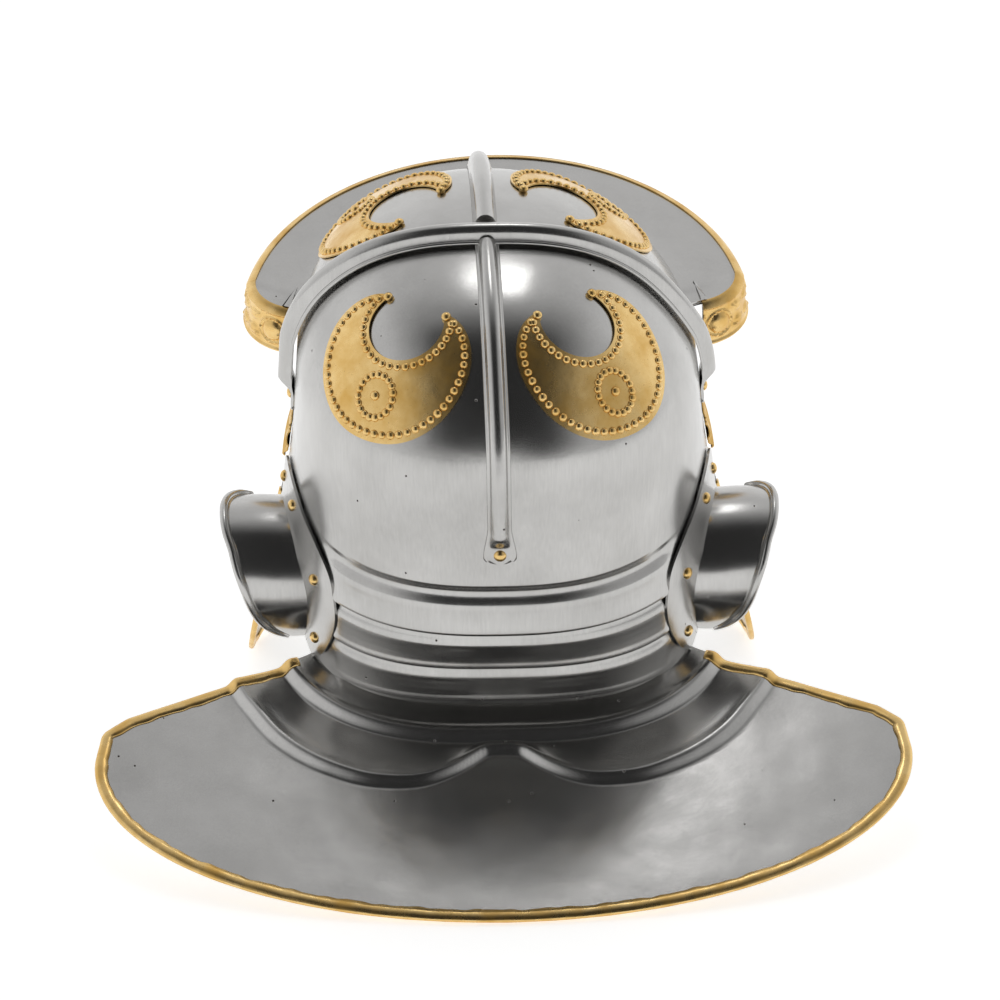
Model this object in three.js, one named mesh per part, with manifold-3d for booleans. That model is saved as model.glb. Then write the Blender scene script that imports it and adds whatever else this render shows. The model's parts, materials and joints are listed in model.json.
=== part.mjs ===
// Roman legionary helmet with a broad neck guard, crossed skull bars, a peaked brow guard,
// ear guards and hinged cheek guards. Millimetres, +Z up.
// It is modelled level, with the brow rim at height zero, and then leant back as it stands
// by itself: on the rear edge of the neck guard and the tips of the two cheek guards.

import * as THREE from 'three';
import Module from 'manifold-3d';

const wasm = await Module();
wasm.setup();

// Sheet and seats
const bowl_wall = 1.5;
const guard_sheet = 1.4;
const ear_sheet = 1.3;
const cheek_sheet = 1.2;
const brass_sheet = 0.8;
const seat_gap = 0.35;

// Bowl
const bowl_half_width = 105;
const bowl_front = 131;
const bowl_rear = 116;
const crown_height = 140;
const nape_depth = 59;
const nape_half_width = 102;
const nape_rear = 109;
const dome_square = 2.65;
const front_square_crown = 2.15;
const rear_square_crown = 2.3;
const side_square = 2.5;
const nape_square = 3.2;
const temple_tuck = 0.04;
const tuck_reach = 0.6;
const front_sides = 14;
const nape_sides = 20;

// Ridges pressed into the nape
const ridge_top = 20;
const ridge_pitch = 24;
const ridge_count = 3;
const ridge_relief = 2.4;
const ridge_half_run = 76;

// Skull bars
const bar_width = 11;
const bar_height = 5;
const bar_flange = 1.4;
const cross_bar_width = 12;
const cross_bar_foot = 44;
const front_bar_foot = 72;
const rear_bar_foot = 36;
const bar_foot_flare = 1.2;
const bar_foot_flat = 10;
const rib_share = 0.3;
const front_bar_height = 8.5;

// Brow peak
const peak_overhang = 20;
const peak_half_width = bowl_half_width + peak_overhang;
const peak_front = 180;
const peak_back = 55;
const peak_height = 61;
const peak_rise = 3;
const peak_skirt = 24;
const peak_corner = 26;
const peak_corner_turn = 0.17;
const peak_curl = 1.35;
const peak_flare = 3.5;
const peak_tab = 14;
const peak_tab_depth = 17;
const peak_band = 22;

// Brow strip
const strip_low = 3;
const strip_high = 26;
const strip_start = 8;
const strip_bead = 2.2;

// Neck guard
const guard_half_width = 194;
const guard_widest = -134;
const guard_rear = 228;
const guard_corner_x = 181;
const guard_corner_y = -109;
const guard_root_y = -74;
const guard_slope = 6;
const band_rise = 4;
const lobe_rise = 3;
const band_reach = 14;
const lobe_reach = 48;
const step_width = 5;
const root_cover = 4;
const binding_cover = 4.6;
const binding_wall = 0.7;
const binding_start = 6;
const rim_dip = 0.25;
const rim_step = 0.9;
const lobe_root = 0.35;

// Ear openings and ear guards
const ear_y = -40;
const ear_z = -25;
const ear_radius = 33;
const ear_flange = 20;
const ear_reach = 34;
const ear_bulge = 3;
const ear_rim = 2.6;
const ear_lift = 0.8;

// Cheek guards and hinges
const hinge_y = 38;
const hinge_drop = 6;
const hinge_length = 30;
const knuckle_radius = 3;
const pin_radius = 1.3;
const pin_head_radius = 2.4;
const pin_head = 1.2;
const knuckle_gap = 0.4;
const knuckle_reach = knuckle_radius + 0.8;
const leaf_sheet = 1.2;
const leaf_height = 16;
const cheek_length = 152;
const cheek_width = 74;
const cheek_splay = 12;
const cheek_curl = 16;
const cheek_top_gap = 5;
const edging_cover = 3.2;
const edging_room = 0.6;
const edging_wall = 0.5;

// Crescents
const crescent_x = 39;
const crescent_rear_y = -50;
const crescent_front_y = 38;
const crescent_size = 53;
const crescent_bite = 18;
const crescent_turn = 8;
const bead_line = 0.7;
const crescent_steps = 15;
const crescent_lift = 0.6;

// Rivets
const rivet_radius = 3;
const rivet_dome = 1.8;
const small_rivet_radius = 2.2;
const small_rivet_dome = 1.3;
const ear_rivet_turns = [56, 98, 148, 200];

const degree = Math.PI / 180;
const tan_slope = Math.tan(guard_slope * degree);

// Pressed profile of one nape ridge, from its top groove down to its sharp lip:
// drop is a share of the pitch, and relief is a share of the ridge's relief.
const ridge_rows = [
  { drop: 0.02, relief: -0.55 },
  { drop: 0.18, relief: -0.4 },
  { drop: 0.3, relief: 0.3 },
  { drop: 0.93, relief: 1 },
  { drop: 0.985, relief: 0.9 },
];

// Half of a crescent, by turn from its middle: rim is the outer radius, measured from
// the middle of the bite, as a share of the crescent's size.
const crescent_rows = [
  { turn: 0, rim: 1 },
  { turn: 20, rim: 0.98 },
  { turn: 40, rim: 0.905 },
  { turn: 60, rim: 0.8 },
  { turn: 80, rim: 0.69 },
  { turn: 100, rim: 0.565 },
  { turn: 115, rim: 0.46 },
  { turn: 126, rim: 0.37 },
];

// Ear guard, by turn from straight ahead: arch is a share of the ear radius, flange of the
// flange's width, and reach of how far the scoop stands out.
const ear_rows = [
  { turn: 42, arch: 1, flange: 0.95, reach: 0.5 },
  { turn: 60, arch: 1, flange: 1, reach: 0.78 },
  { turn: 78, arch: 1, flange: 1, reach: 0.92 },
  { turn: 96, arch: 1, flange: 1, reach: 0.98 },
  { turn: 113, arch: 1, flange: 1, reach: 1 },
  { turn: 130, arch: 1, flange: 1.1, reach: 0.97 },
  { turn: 147, arch: 1, flange: 1.15, reach: 0.97 },
  { turn: 163, arch: 1, flange: 1, reach: 0.93 },
  { turn: 179, arch: 1, flange: 0.85, reach: 0.86 },
  { turn: 195, arch: 1, flange: 0.75, reach: 0.72 },
  { turn: 208, arch: 1.04, flange: 0.65, reach: 0.52 },
  { turn: 220, arch: 1.08, flange: 0.45, reach: 0.27 },
];

// Cheek guard outline: down is a share of its length, and back and fore of its width.
const cheek_rows = [
  { down: 0, back: -0.3, fore: 0.3 },
  { down: 0.07, back: -0.39, fore: 0.38 },
  { down: 0.2, back: -0.44, fore: 0.42 },
  { down: 0.33, back: -0.44, fore: 0.36 },
  { down: 0.46, back: -0.42, fore: 0.44 },
  { down: 0.58, back: -0.42, fore: 0.55 },
  { down: 0.7, back: -0.42, fore: 0.5 },
  { down: 0.82, back: -0.38, fore: 0.48 },
  { down: 0.93, back: -0.24, fore: 0.4 },
  { down: 1, back: -0.02, fore: 0.22 },
];

// Lobes pressed into the neck guard, from its front edge to the middle: run is a share of
// the way round, and reach is a share of the lobe's reach.
const lobe_rows = [
  { run: 0, reach: 0.95 },
  { run: 0.2, reach: 0.95 },
  { run: 0.4, reach: 1 },
  { run: 0.6, reach: 1.02 },
  { run: 0.75, reach: 1 },
  { run: 0.87, reach: 0.88 },
  { run: 0.95, reach: 0.66 },
  { run: 1, reach: 0.46 },
];

const steel = new THREE.MeshStandardMaterial({ color: 0x9c9d9f, roughness: 0.24, metalness: 1 });
const brass = new THREE.MeshStandardMaterial({ color: 0xc9a24a, roughness: 0.3, metalness: 1 });
const dark_steel = new THREE.MeshStandardMaterial({ color: 0x6c6d70, roughness: 0.4, metalness: 1 });

// Numbers

function mix(a, b, t) {
  return a + (b - a) * t;
}

function between(value, low, high) {
  return Math.min(high, Math.max(low, value));
}

// Value of a named column of a table at a place along its key column.
function lookUp(rows, key, column, at) {
  let i = 0;
  while (i < rows.length - 2 && rows[i + 1][key] < at) i += 1;
  const a = rows[i];
  const b = rows[i + 1];
  return mix(a[column], b[column], between((at - a[key]) / (b[key] - a[key]), 0, 1));
}

function evenSteps(from, to, count) {
  return Array.from({ length: count + 1 }, (_, i) => mix(from, to, i / count));
}

// Solids from points

// A closed solid from points and triangles, turned so that its faces point outwards.
function solidOf(points, faces) {
  let volume = 0;
  for (const [a, b, c] of faces) {
    volume += points[a].dot(new THREE.Vector3().crossVectors(points[b], points[c]));
  }
  const turned = volume < 0 ? faces.map(([a, b, c]) => [a, c, b]) : faces;
  const geometry = new THREE.BufferGeometry();
  const flat = points.flatMap((p) => [p.x, p.y, p.z]);
  geometry.setAttribute('position', new THREE.Float32BufferAttribute(flat, 3));
  geometry.setIndex(turned.flat());
  return geometry;
}

// Skin through rings of equally many points. An end is closed over its section, or drawn
// to a point where a tip is given; a loop joins the last ring to the first.
function skin(rings, { section = null, startTip = null, endTip = null, loop = false } = {}) {
  const size = rings[0].length;
  const points = rings.flat();
  const faces = [];
  const spans = loop ? rings.length : rings.length - 1;
  for (let i = 0; i < spans; i += 1) {
    const from = i * size;
    const to = ((i + 1) % rings.length) * size;
    for (let j = 0; j < size; j += 1) {
      const k = (j + 1) % size;
      faces.push([from + j, from + k, to + k], [from + j, to + k, to + j]);
    }
  }
  if (loop) return solidOf(points, faces);
  const closeEnd = (first, tip, along) => {
    const put = (a, b, c) => faces.push(along ? [a, b, c] : [a, c, b]);
    if (section && !tip) {
      for (const [a, b, c] of capFaces(section)) put(first + a, first + b, first + c);
      return;
    }
    points.push(tip ?? centreOf(points.slice(first, first + size)));
    for (let j = 0; j < size; j += 1) put(points.length - 1, first + j, first + ((j + 1) % size));
  };
  closeEnd(0, startTip, false);
  closeEnd((rings.length - 1) * size, endTip, true);
  return solidOf(points, faces);
}

// Triangles over a flat section, wound the way that the section runs.
function capFaces(section) {
  const flat = section.map(([a, b]) => new THREE.Vector2(a, b));
  const area = THREE.ShapeUtils.area(flat);
  return THREE.ShapeUtils.triangulateShape(flat, []).map(([a, b, c]) => {
    const turn = THREE.ShapeUtils.area([flat[a], flat[b], flat[c]]);
    return turn * area > 0 ? [a, b, c] : [a, c, b];
  });
}

function centreOf(points) {
  const sum = new THREE.Vector3();
  for (const p of points) sum.add(p);
  return sum.multiplyScalar(1 / points.length);
}

// A sheet between two grids of points that lie over each other.
function sheet(top, bottom) {
  const rows = top.length;
  const columns = top[0].length;
  const points = [...top.flat(), ...bottom.flat()];
  const under = rows * columns;
  const at = (i, j) => i * columns + j;
  const faces = [];
  for (let i = 0; i < rows - 1; i += 1) {
    for (let j = 0; j < columns - 1; j += 1) {
      const [a, b, c, d] = [at(i, j), at(i + 1, j), at(i + 1, j + 1), at(i, j + 1)];
      faces.push([a, b, c], [a, c, d]);
      faces.push([under + a, under + c, under + b], [under + a, under + d, under + c]);
    }
  }
  const rim = [];
  for (let i = 0; i < rows - 1; i += 1) rim.push(at(i, 0));
  for (let j = 0; j < columns - 1; j += 1) rim.push(at(rows - 1, j));
  for (let i = rows - 1; i > 0; i -= 1) rim.push(at(i, columns - 1));
  for (let j = columns - 1; j > 0; j -= 1) rim.push(at(0, j));
  rim.forEach((a, k) => {
    const b = rim[(k + 1) % rim.length];
    faces.push([a, under + a, under + b], [a, under + b, b]);
  });
  return solidOf(points, faces);
}

// Outward direction at each point of a grid, on the side that the hint points to.
function gridNormals(grid, hint) {
  return grid.map((row, i) => row.map((point, j) => {
    const down = grid[Math.min(i + 1, grid.length - 1)][j].clone().sub(grid[Math.max(i - 1, 0)][j]);
    const across = row[Math.min(j + 1, row.length - 1)].clone().sub(row[Math.max(j - 1, 0)]);
    const normal = down.cross(across).normalize();
    return normal.dot(hint(point)) < 0 ? normal.negate() : normal;
  }));
}

function offsetGrid(grid, normals, distance) {
  return grid.map((row, i) => row.map((point, j) => {
    const away = typeof distance === 'number' ? distance : distance(i, j);
    return point.clone().addScaledVector(normals[i][j], away);
  }));
}

// A section carried along frames: each frame has an origin and two directions.
function sweep(section, frames, loop = false) {
  const rings = frames.map(({ origin, a, b, scale = 1 }) => section.map(([u, v]) => (
    origin.clone().addScaledVector(a, u * scale).addScaledVector(b, v))));
  return skin(rings, { section, loop });
}

// Solids joined and cut

function toManifold(geometry) {
  const vertProperties = new Float32Array(geometry.getAttribute('position').array);
  const triVerts = new Uint32Array(geometry.getIndex().array);
  return new wasm.Manifold(new wasm.Mesh({ numProp: 3, vertProperties, triVerts }));
}

function toGeometry(manifold) {
  const mesh = manifold.getMesh();
  const geometry = new THREE.BufferGeometry();
  geometry.setAttribute('position', new THREE.BufferAttribute(new Float32Array(mesh.vertProperties), 3));
  geometry.setIndex(new THREE.BufferAttribute(new Uint32Array(mesh.triVerts), 1));
  return geometry;
}

// Bowl surface

// Half width, front and rear depth and squareness of the bowl at a height.
function bowlSection(z) {
  if (z < 0) {
    const share = between(-z / nape_depth, 0, 1.3);
    return {
      half: mix(bowl_half_width, nape_half_width, share),
      front: bowl_front,
      rear: mix(bowl_rear, nape_rear, share),
      frontSquare: side_square,
      rearSquare: mix(side_square, nape_square, between(share, 0, 1)),
    };
  }
  const share = between(z / crown_height, 0, 1);
  const tuck = temple_tuck * Math.sin(Math.PI * between(share / tuck_reach, 0, 1));
  const shrink = (1 - share ** dome_square) ** (1 / dome_square) * (1 - tuck);
  return {
    half: bowl_half_width * shrink,
    front: bowl_front * shrink,
    rear: bowl_rear * shrink,
    frontSquare: mix(side_square, front_square_crown, share),
    rearSquare: mix(side_square, rear_square_crown, share),
  };
}

// Below zero inside the bowl's outer surface, above zero outside it.
function bowlField(point) {
  const s = bowlSection(point.z);
  const ahead = point.y > 0;
  const depth = Math.max(ahead ? s.front : s.rear, 1e-6);
  const square = ahead ? s.frontSquare : s.rearSquare;
  const half = Math.max(s.half, 1e-6);
  return (Math.abs(point.x) / half) ** square + (Math.abs(point.y) / depth) ** square - 1;
}

function bowlNormal(point) {
  const step = 0.5;
  const slope = (axis) => {
    const ahead = point.clone();
    const behind = point.clone();
    ahead[axis] += step;
    behind[axis] -= step;
    return bowlField(ahead) - bowlField(behind);
  };
  return new THREE.Vector3(slope('x'), slope('y'), slope('z')).normalize();
}

// How often a search halves its range.
const halvings = 40;

// Point of the bowl's surface on a line from outside it, looking along a direction.
function bowlHit(start, direction) {
  let near = 0;
  while (bowlField(start.clone().addScaledVector(direction, near)) > 0 && near < 400) near += 2;
  let low = near - 2;
  let high = near;
  for (let i = 0; i < halvings; i += 1) {
    const middle = (low + high) / 2;
    if (bowlField(start.clone().addScaledVector(direction, middle)) > 0) low = middle;
    else high = middle;
  }
  return start.clone().addScaledVector(direction, high);
}

// Place on the bowl's side, by how far forward and how high it lies.
function sidePoint(side, y, z) {
  const s = bowlSection(z);
  const ahead = y > 0;
  const square = ahead ? s.frontSquare : s.rearSquare;
  const share = between(Math.abs(y) / (ahead ? s.front : s.rear), 0, 1);
  return new THREE.Vector3(side * s.half * (1 - share ** square) ** (1 / square), y, z);
}

// Place on the bowl by turn: zero on the right, a quarter turn ahead.
function ringPoint(turn, z, inset = 0, relief = 0) {
  const s = bowlSection(z);
  const ahead = Math.sin(turn) > 0;
  const square = ahead ? s.frontSquare : s.rearSquare;
  const c = Math.cos(turn);
  const d = Math.sin(turn);
  const half = Math.max(s.half - inset, 0.5);
  const depth = Math.max((ahead ? s.front : s.rear) - inset, 0.5);
  const x = half * Math.sign(c) * Math.abs(c) ** (2 / square);
  const y = depth * Math.sign(d) * Math.abs(d) ** (2 / square);
  const point = new THREE.Vector3(x, y, z);
  if (relief !== 0 && y < 0 && Math.abs(x) < ridge_half_run) {
    point.addScaledVector(new THREE.Vector3(x / half ** 2, y / depth ** 2, 0).normalize(), relief);
  }
  return point;
}

function domeLevels(count) {
  const top = crown_height;
  return Array.from({ length: count }, (_, i) => {
    const turn = Math.PI / 2 * ((i + 0.55) / (count - 0.45)) ** 1.05;
    return { z: top * Math.max(Math.cos(turn), 0) ** (2 / dome_square), relief: 0 };
  });
}

function napeLevels() {
  const levels = [{ z: ridge_top + 3, relief: 0 }];
  for (let ridge = 0; ridge < ridge_count; ridge += 1) {
    for (const row of ridge_rows) {
      levels.push({
        z: ridge_top - (ridge + row.drop) * ridge_pitch,
        relief: row.relief * ridge_relief,
      });
    }
  }
  const lowest = levels[levels.length - 1].z;
  levels.push({ z: lowest - 1, relief: 0 });
  levels.push({ z: Math.min(lowest - 3, -nape_depth - 8), relief: 0 });
  return levels;
}

// Turns of the bowl's columns, closer together round the nape.
const bowl_turns = [
  ...evenSteps(0, Math.PI, front_sides).slice(0, -1),
  ...evenSteps(Math.PI, Math.PI * 2, nape_sides).slice(0, -1),
];

function ring(level) {
  return bowl_turns.map((turn) => ringPoint(turn, level.z, 0, level.relief));
}

const dome_levels = domeLevels(11).filter((level) => level.z > ridge_top + 6);
const bowl_levels = [...dome_levels, ...napeLevels()];

// Height of the seam between the nape and the neck guard.
function seamHeight(y) {
  return -nape_depth + tan_slope * (y + nape_rear);
}

// Outline of the ear opening in side view, from the brow rim round to the nape.
function earArch() {
  return ear_rows.map(({ turn, arch }) => ({
    y: ear_y + ear_radius * arch * Math.cos(turn * degree),
    z: ear_z + ear_radius * arch * Math.sin(turn * degree),
  }));
}

// What is cut away below the brow rim, round the ears and under the nape, in side view. The
// cutter reaches past the bowl by this much on each side.
const cutter_room = 60;

function rimCutter() {
  const arch = earArch();
  const start = arch[0];
  const end = arch[arch.length - 1];
  const far = bowl_front + cutter_room;
  const behind = -bowl_rear - cutter_room;
  const low = -nape_depth - cutter_room;
  const outline = [
    [far, 0], [start.y + 2, 0],
    ...arch.filter((p) => p.z > 0 || p.y < ear_y).map((p) => [p.y, p.z]),
    [guard_root_y + 2, seamHeight(guard_root_y)],
    [behind, seamHeight(behind)], [behind, low], [far, low],
  ];
  const reach = bowl_half_width + cutter_room;
  const right = outline.map(([y, z]) => new THREE.Vector3(reach, y, z));
  const left = outline.map(([y, z]) => new THREE.Vector3(-reach, y, z));
  return skin([right, left], { section: outline });
}

// Inside face of the wall at a level, behind the same columns as the outside face.
function insideRing(level) {
  return ring(level).map((point) => point.addScaledVector(bowlNormal(point), -bowl_wall));
}

function bowl() {
  const outer = skin(bowl_levels.map(ring), {
    startTip: new THREE.Vector3(0, 0, crown_height),
  });
  const inner = skin(bowl_levels.map(insideRing), {
    startTip: new THREE.Vector3(0, 0, crown_height - bowl_wall),
  });
  return toGeometry(toManifold(outer).subtract(toManifold(inner)).subtract(toManifold(rimCutter())));
}

// Skull bars

// Section of a bar: a flat foot each side of a rounded rib.
function barSection(width, height) {
  const foot = width / 2;
  const rib = width * rib_share;
  return [
    [-foot, 0], [-foot, bar_flange], [-rib, bar_flange], [-rib * 0.75, height * 0.8], [0, height],
    [rib * 0.75, height * 0.8], [rib, bar_flange], [foot, bar_flange], [foot, 0],
  ];
}

// A bar swept along its frames; where a frame is flat, the rib is pressed down for the rivet.
function barSolid(width, height, frames) {
  const section = barSection(width, height);
  const pressed = barSection(width, bar_flange * 1.2);
  const rings = frames.map(({ origin, a, b, flat = false, scale = 1 }) => (
    (flat ? pressed : section).map(([u, v]) => (
      origin.clone().addScaledVector(a, u * scale).addScaledVector(b, v)))));
  return skin(rings, { section });
}

// Frames along the bowl's middle line, ahead or behind, or across it at its widest.
function barFrames(spotAt, levels, side) {
  return levels.map((z, i) => {
    const here = spotAt(z);
    const before = spotAt(levels[Math.max(i - 1, 0)]);
    const after = spotAt(levels[Math.min(i + 1, levels.length - 1)]);
    const along = after.sub(before).normalize();
    const out = new THREE.Vector3().crossVectors(side, along).normalize();
    const up = out.dot(here) < 0 ? out.negate() : out;
    return { origin: here.addScaledVector(up, seat_gap), a: side, b: up, flat: z.flat };
  });
}

// Heights down a bar from its top, ending in the flattened foot.
function footLevels(levels, foot) {
  const clear = levels.filter((z) => z > foot + bar_foot_flat * 1.7);
  return [
    ...clear.map((z) => ({ z, flat: false })), { z: foot + bar_foot_flat * 1.25, flat: false },
    { z: foot + bar_foot_flat, flat: true }, { z: foot, flat: true },
  ];
}

function crossBarFrames() {
  const levels = footLevels(bowl_levels.map((level) => level.z), cross_bar_foot);
  const left = levels.slice().reverse().map(({ z, flat }) => ({ side: -1, z, flat }));
  const right = levels.map(({ z, flat }) => ({ side: 1, z, flat }));
  const spots = [...left, { side: 0, z: crown_height, flat: false }, ...right];
  const place = ({ side, z }) => new THREE.Vector3(side * bowlSection(z).half, 0, z);
  return barFrames(place, spots, new THREE.Vector3(0, 1, 0));
}

function crossBar() {
  return barSolid(cross_bar_width, bar_height, crossBarFrames());
}

function middleBarFrames(ahead, foot) {
  const start = cross_bar_width / 2 + seat_gap;
  const depth = (z) => (ahead ? bowlSection(z).front : bowlSection(z).rear);
  const levels = footLevels(bowl_levels.map((level) => level.z).filter((z) => depth(z) > start + 4), foot);
  const first = levels[0].z;
  const top = { z: mix(crown_height, first, start / depth(first)), y: start, flat: false };
  const spots = [top, ...levels.map(({ z, flat }) => ({ z, y: depth(z), flat }))];
  const place = ({ y, z }) => new THREE.Vector3(0, ahead ? y : -y, z);
  const frames = barFrames(place, spots, new THREE.Vector3(1, 0, 0));
  frames[frames.length - 2].scale = bar_foot_flare;
  return frames;
}

function middleBar(ahead, foot, height) {
  return barSolid(bar_width, height, middleBarFrames(ahead, foot));
}

// Brow peak

// Outer edge of the peak, by turn from the right. It runs round the front, and behind each
// corner turn it curls back in to the bowl round an arc.
function peakEdge(turn, inset = 0) {
  const side = Math.cos(turn) < 0 ? -1 : 1;
  const ahead = side > 0 ? turn : Math.PI - turn;
  const at = Math.max(ahead, peak_corner_turn);
  const curl = Math.max(peak_corner_turn - ahead, 0);
  const radius = peak_corner - inset;
  const x = (peak_half_width - inset) * Math.cos(at) - radius * (1 - Math.cos(curl));
  const y = peak_back + (peak_front - peak_back - inset) * Math.sin(at) - radius * Math.sin(curl);
  return new THREE.Vector2(side * x, y);
}

const peak_turns = [
  ...evenSteps(peak_corner_turn - peak_curl, peak_corner_turn, 5).slice(0, -1),
  ...evenSteps(peak_corner_turn, Math.PI - peak_corner_turn, 22),
  ...evenSteps(Math.PI - peak_corner_turn, Math.PI - peak_corner_turn + peak_curl, 5).slice(1),
];

function peakTop(turn) {
  return peak_height + peak_rise * Math.max(Math.sin(turn), 0);
}

// Inner edge of the plate, lying against the bowl.
function peakRoot(turn, z) {
  const edge = peakEdge(turn);
  const toward = new THREE.Vector3(-edge.x, -Math.max(edge.y - 4, 0) * 0.9, 0).normalize();
  const start = new THREE.Vector3(edge.x, edge.y, z);
  const hit = bowlHit(start, toward);
  return hit.addScaledVector(bowlNormal(hit), seat_gap);
}

// Point on the skirt that hangs from the peak's edge and flares outwards on its way down.
function skirtPoint(turn, inset, down) {
  const edge = peakEdge(turn, inset - peak_flare * down / peak_skirt);
  return new THREE.Vector3(edge.x, edge.y, peakTop(turn) - down);
}

function peakPlate() {
  const rings = peak_turns.map((turn) => {
    const z = peakTop(turn);
    const root = peakRoot(turn, z);
    const low = peakRoot(turn, z - guard_sheet);
    const put = (inset, down) => skirtPoint(turn, inset, down);
    return [root, put(0, 0), put(0, peak_skirt), put(guard_sheet, peak_skirt),
      put(guard_sheet, guard_sheet), low];
  });
  const section = [[0, 0], [10, 0], [10, -8], [9, -8], [9, -1], [0, -1]];
  const plateAlone = toManifold(skin(rings, { section }));
  return [-1, 1].reduce((whole, side) => whole.add(toManifold(peakTab(side))), plateAlone);
}

// Tab at each end of the peak, lying on the bowl's side, for its rivet.
function tabSpot(side, along, down) {
  const end = peakRoot(peak_turns[0], peak_height);
  const y = end.y + peak_tab * (0.5 - along);
  const p = sidePoint(side, y, peak_height - down * peak_tab_depth);
  return p.addScaledVector(bowlNormal(p), seat_gap + guard_sheet);
}

function peakTab(side) {
  const outside = [0, 0.5, 1].map((down) => [0, 0.5, 1].map((along) => tabSpot(side, along, down)));
  const normals = gridNormals(outside, () => new THREE.Vector3(side, 0, 0));
  return sheet(outside, offsetGrid(outside, normals, -guard_sheet));
}

function peakTrim() {
  const high = (peak_skirt - peak_band) / 2;
  const low = high + peak_band;
  const near = seat_gap;
  const far = near + brass_sheet;
  const proud = far + brass_sheet;
  const rings = peak_turns.map((turn) => {
    const put = (out, down) => skirtPoint(turn, -out, down);
    return [put(near, high), put(proud, high), put(proud, high + 1.6), put(far, high + 2.4),
      put(far, low - 2.4), put(proud, low - 1.6), put(proud, low), put(near, low)];
  });
  const section = [[0, 8], [1.6, 8], [1.6, 6.4], [0.8, 5.6], [0.8, -5.6], [1.6, -6.4], [1.6, -8], [0, -8]];
  return skin(rings, { section });
}

// Brow strip round the front rim

function browStrip() {
  const turns = evenSteps(0, Math.PI, 24);
  const s = bowlSection(0);
  const first = Math.asin((strip_start / s.front) ** (s.frontSquare / 2));
  const rings = turns.map((t) => {
    const turn = mix(first, Math.PI - first, t / Math.PI);
    const put = (z, out) => ringPoint(turn, z, -out);
    const near = seat_gap;
    const far = seat_gap + brass_sheet;
    return [put(strip_high, near), put(strip_high, far), put(strip_low + strip_bead * 1.6, far),
      put(strip_low + strip_bead, far + strip_bead * 0.7), put(strip_low, far + strip_bead * 0.5),
      put(strip_low, near)];
  });
  const section = [[0, 20], [1, 20], [1, 4], [2.4, 2.5], [2, 0], [0, 0]];
  return skin(rings, { section });
}

// Neck guard

const half_guard_columns = 15;

// Outer edge from the front corner on one side to the middle of the rear edge.
function guardEdge(side) {
  const corner = new THREE.Vector2(guard_corner_x, guard_corner_y);
  const widest = new THREE.Vector2(guard_half_width, guard_widest);
  const bulge = new THREE.Vector2(mix(corner.x, widest.x, 0.85), mix(corner.y, widest.y, 0.35));
  const depth = guard_rear + guard_widest;
  const rear = evenSteps(0, Math.PI / 2, half_guard_columns - 3).map((turn) => (
    new THREE.Vector2(guard_half_width * Math.cos(turn), guard_widest - depth * Math.sin(turn))));
  return [corner, bulge, ...rear].map((p) => new THREE.Vector2(side * p.x, p.y));
}

// Inner edge, just under the nape's wall.
function guardRoot(side) {
  const s = bowlSection(-nape_depth);
  const first = Math.asin((-guard_root_y / s.rear) ** (s.rearSquare / 2));
  return evenSteps(first, Math.PI / 2, half_guard_columns - 1).map((turn) => {
    const p = ringPoint(-turn, -nape_depth, root_cover);
    return new THREE.Vector2(side * p.x, p.y);
  });
}

function guardColumns() {
  const [left, right] = [-1, 1].map((side) => {
    const roots = guardRoot(side);
    return guardEdge(side).map((edge, i) => ({ edge, root: roots[i], run: i / (half_guard_columns - 1) }));
  });
  return [...left, ...right.slice(0, -1).reverse()];
}

// Height of the neck guard's plain top surface.
function guardHeight(y) {
  return seamHeight(y) - seat_gap - band_rise;
}

function guardGrid() {
  return guardColumns().map(({ edge, root, run }) => {
    const span = edge.distanceTo(root);
    const fade = between(run * (half_guard_columns - 1) / 1.5 - 0.7, 0, 1);
    const band = root_cover + band_reach;
    const lobe = Math.max(lookUp(lobe_rows, 'run', 'reach', run) * lobe_reach, band + step_width + 2);
    const covered = span - binding_cover - seat_gap;
    const rows = [
      { at: 0, height: band_rise * fade }, { at: band, height: band_rise * fade },
      { at: band + step_width, height: lobe_rise * lobe_root * fade }, { at: lobe, height: lobe_rise * fade },
      { at: lobe + step_width, height: 0 }, { at: covered - rim_step, height: 0 },
      { at: covered, height: -rim_dip }, { at: span, height: -rim_dip },
    ];
    return rows.map(({ at, height }) => {
      const p = root.clone().lerp(edge, at / span);
      return new THREE.Vector3(p.x, p.y, guardHeight(p.y) + height);
    });
  });
}

function neckGuard() {
  const top = guardGrid();
  const bottom = top.map((row) => row.map((p) => new THREE.Vector3(p.x, p.y, p.z - guard_sheet)));
  return sheet(top, bottom);
}

// Rolled brass binding over the front and rear edges of the neck guard.
function guardBinding() {
  const columns = guardColumns();
  const first = columns[0];
  const last = columns[columns.length - 1];
  const start = bowl_wall + root_cover + binding_start;
  const outer = ({ root, edge }) => root.clone().lerp(edge, start / edge.distanceTo(root));
  const path = [outer(first), ...columns.map(({ edge }) => edge), outer(last)];
  const inner = guard_sheet / 2 + seat_gap;
  const skinHalf = inner + binding_wall;
  const nose = seat_gap + binding_wall;
  const section = [
    [-binding_cover, inner], [-binding_cover, skinHalf * 0.9], [-binding_cover / 2, skinHalf * 1.1],
    [seat_gap, skinHalf * 0.9], [nose, 0], [seat_gap, -skinHalf * 0.9], [-binding_cover / 2, -skinHalf * 1.1],
    [-binding_cover, -skinHalf * 0.9], [-binding_cover, -inner], [seat_gap, -inner], [seat_gap, inner],
  ];
  const up = new THREE.Vector3(0, -tan_slope, 1).normalize();
  const middle = (p) => new THREE.Vector3(p.x, p.y, guardHeight(p.y) - rim_dip - guard_sheet / 2);
  return sweep(section, edgeFrames(path.map(middle), up));
}

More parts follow.
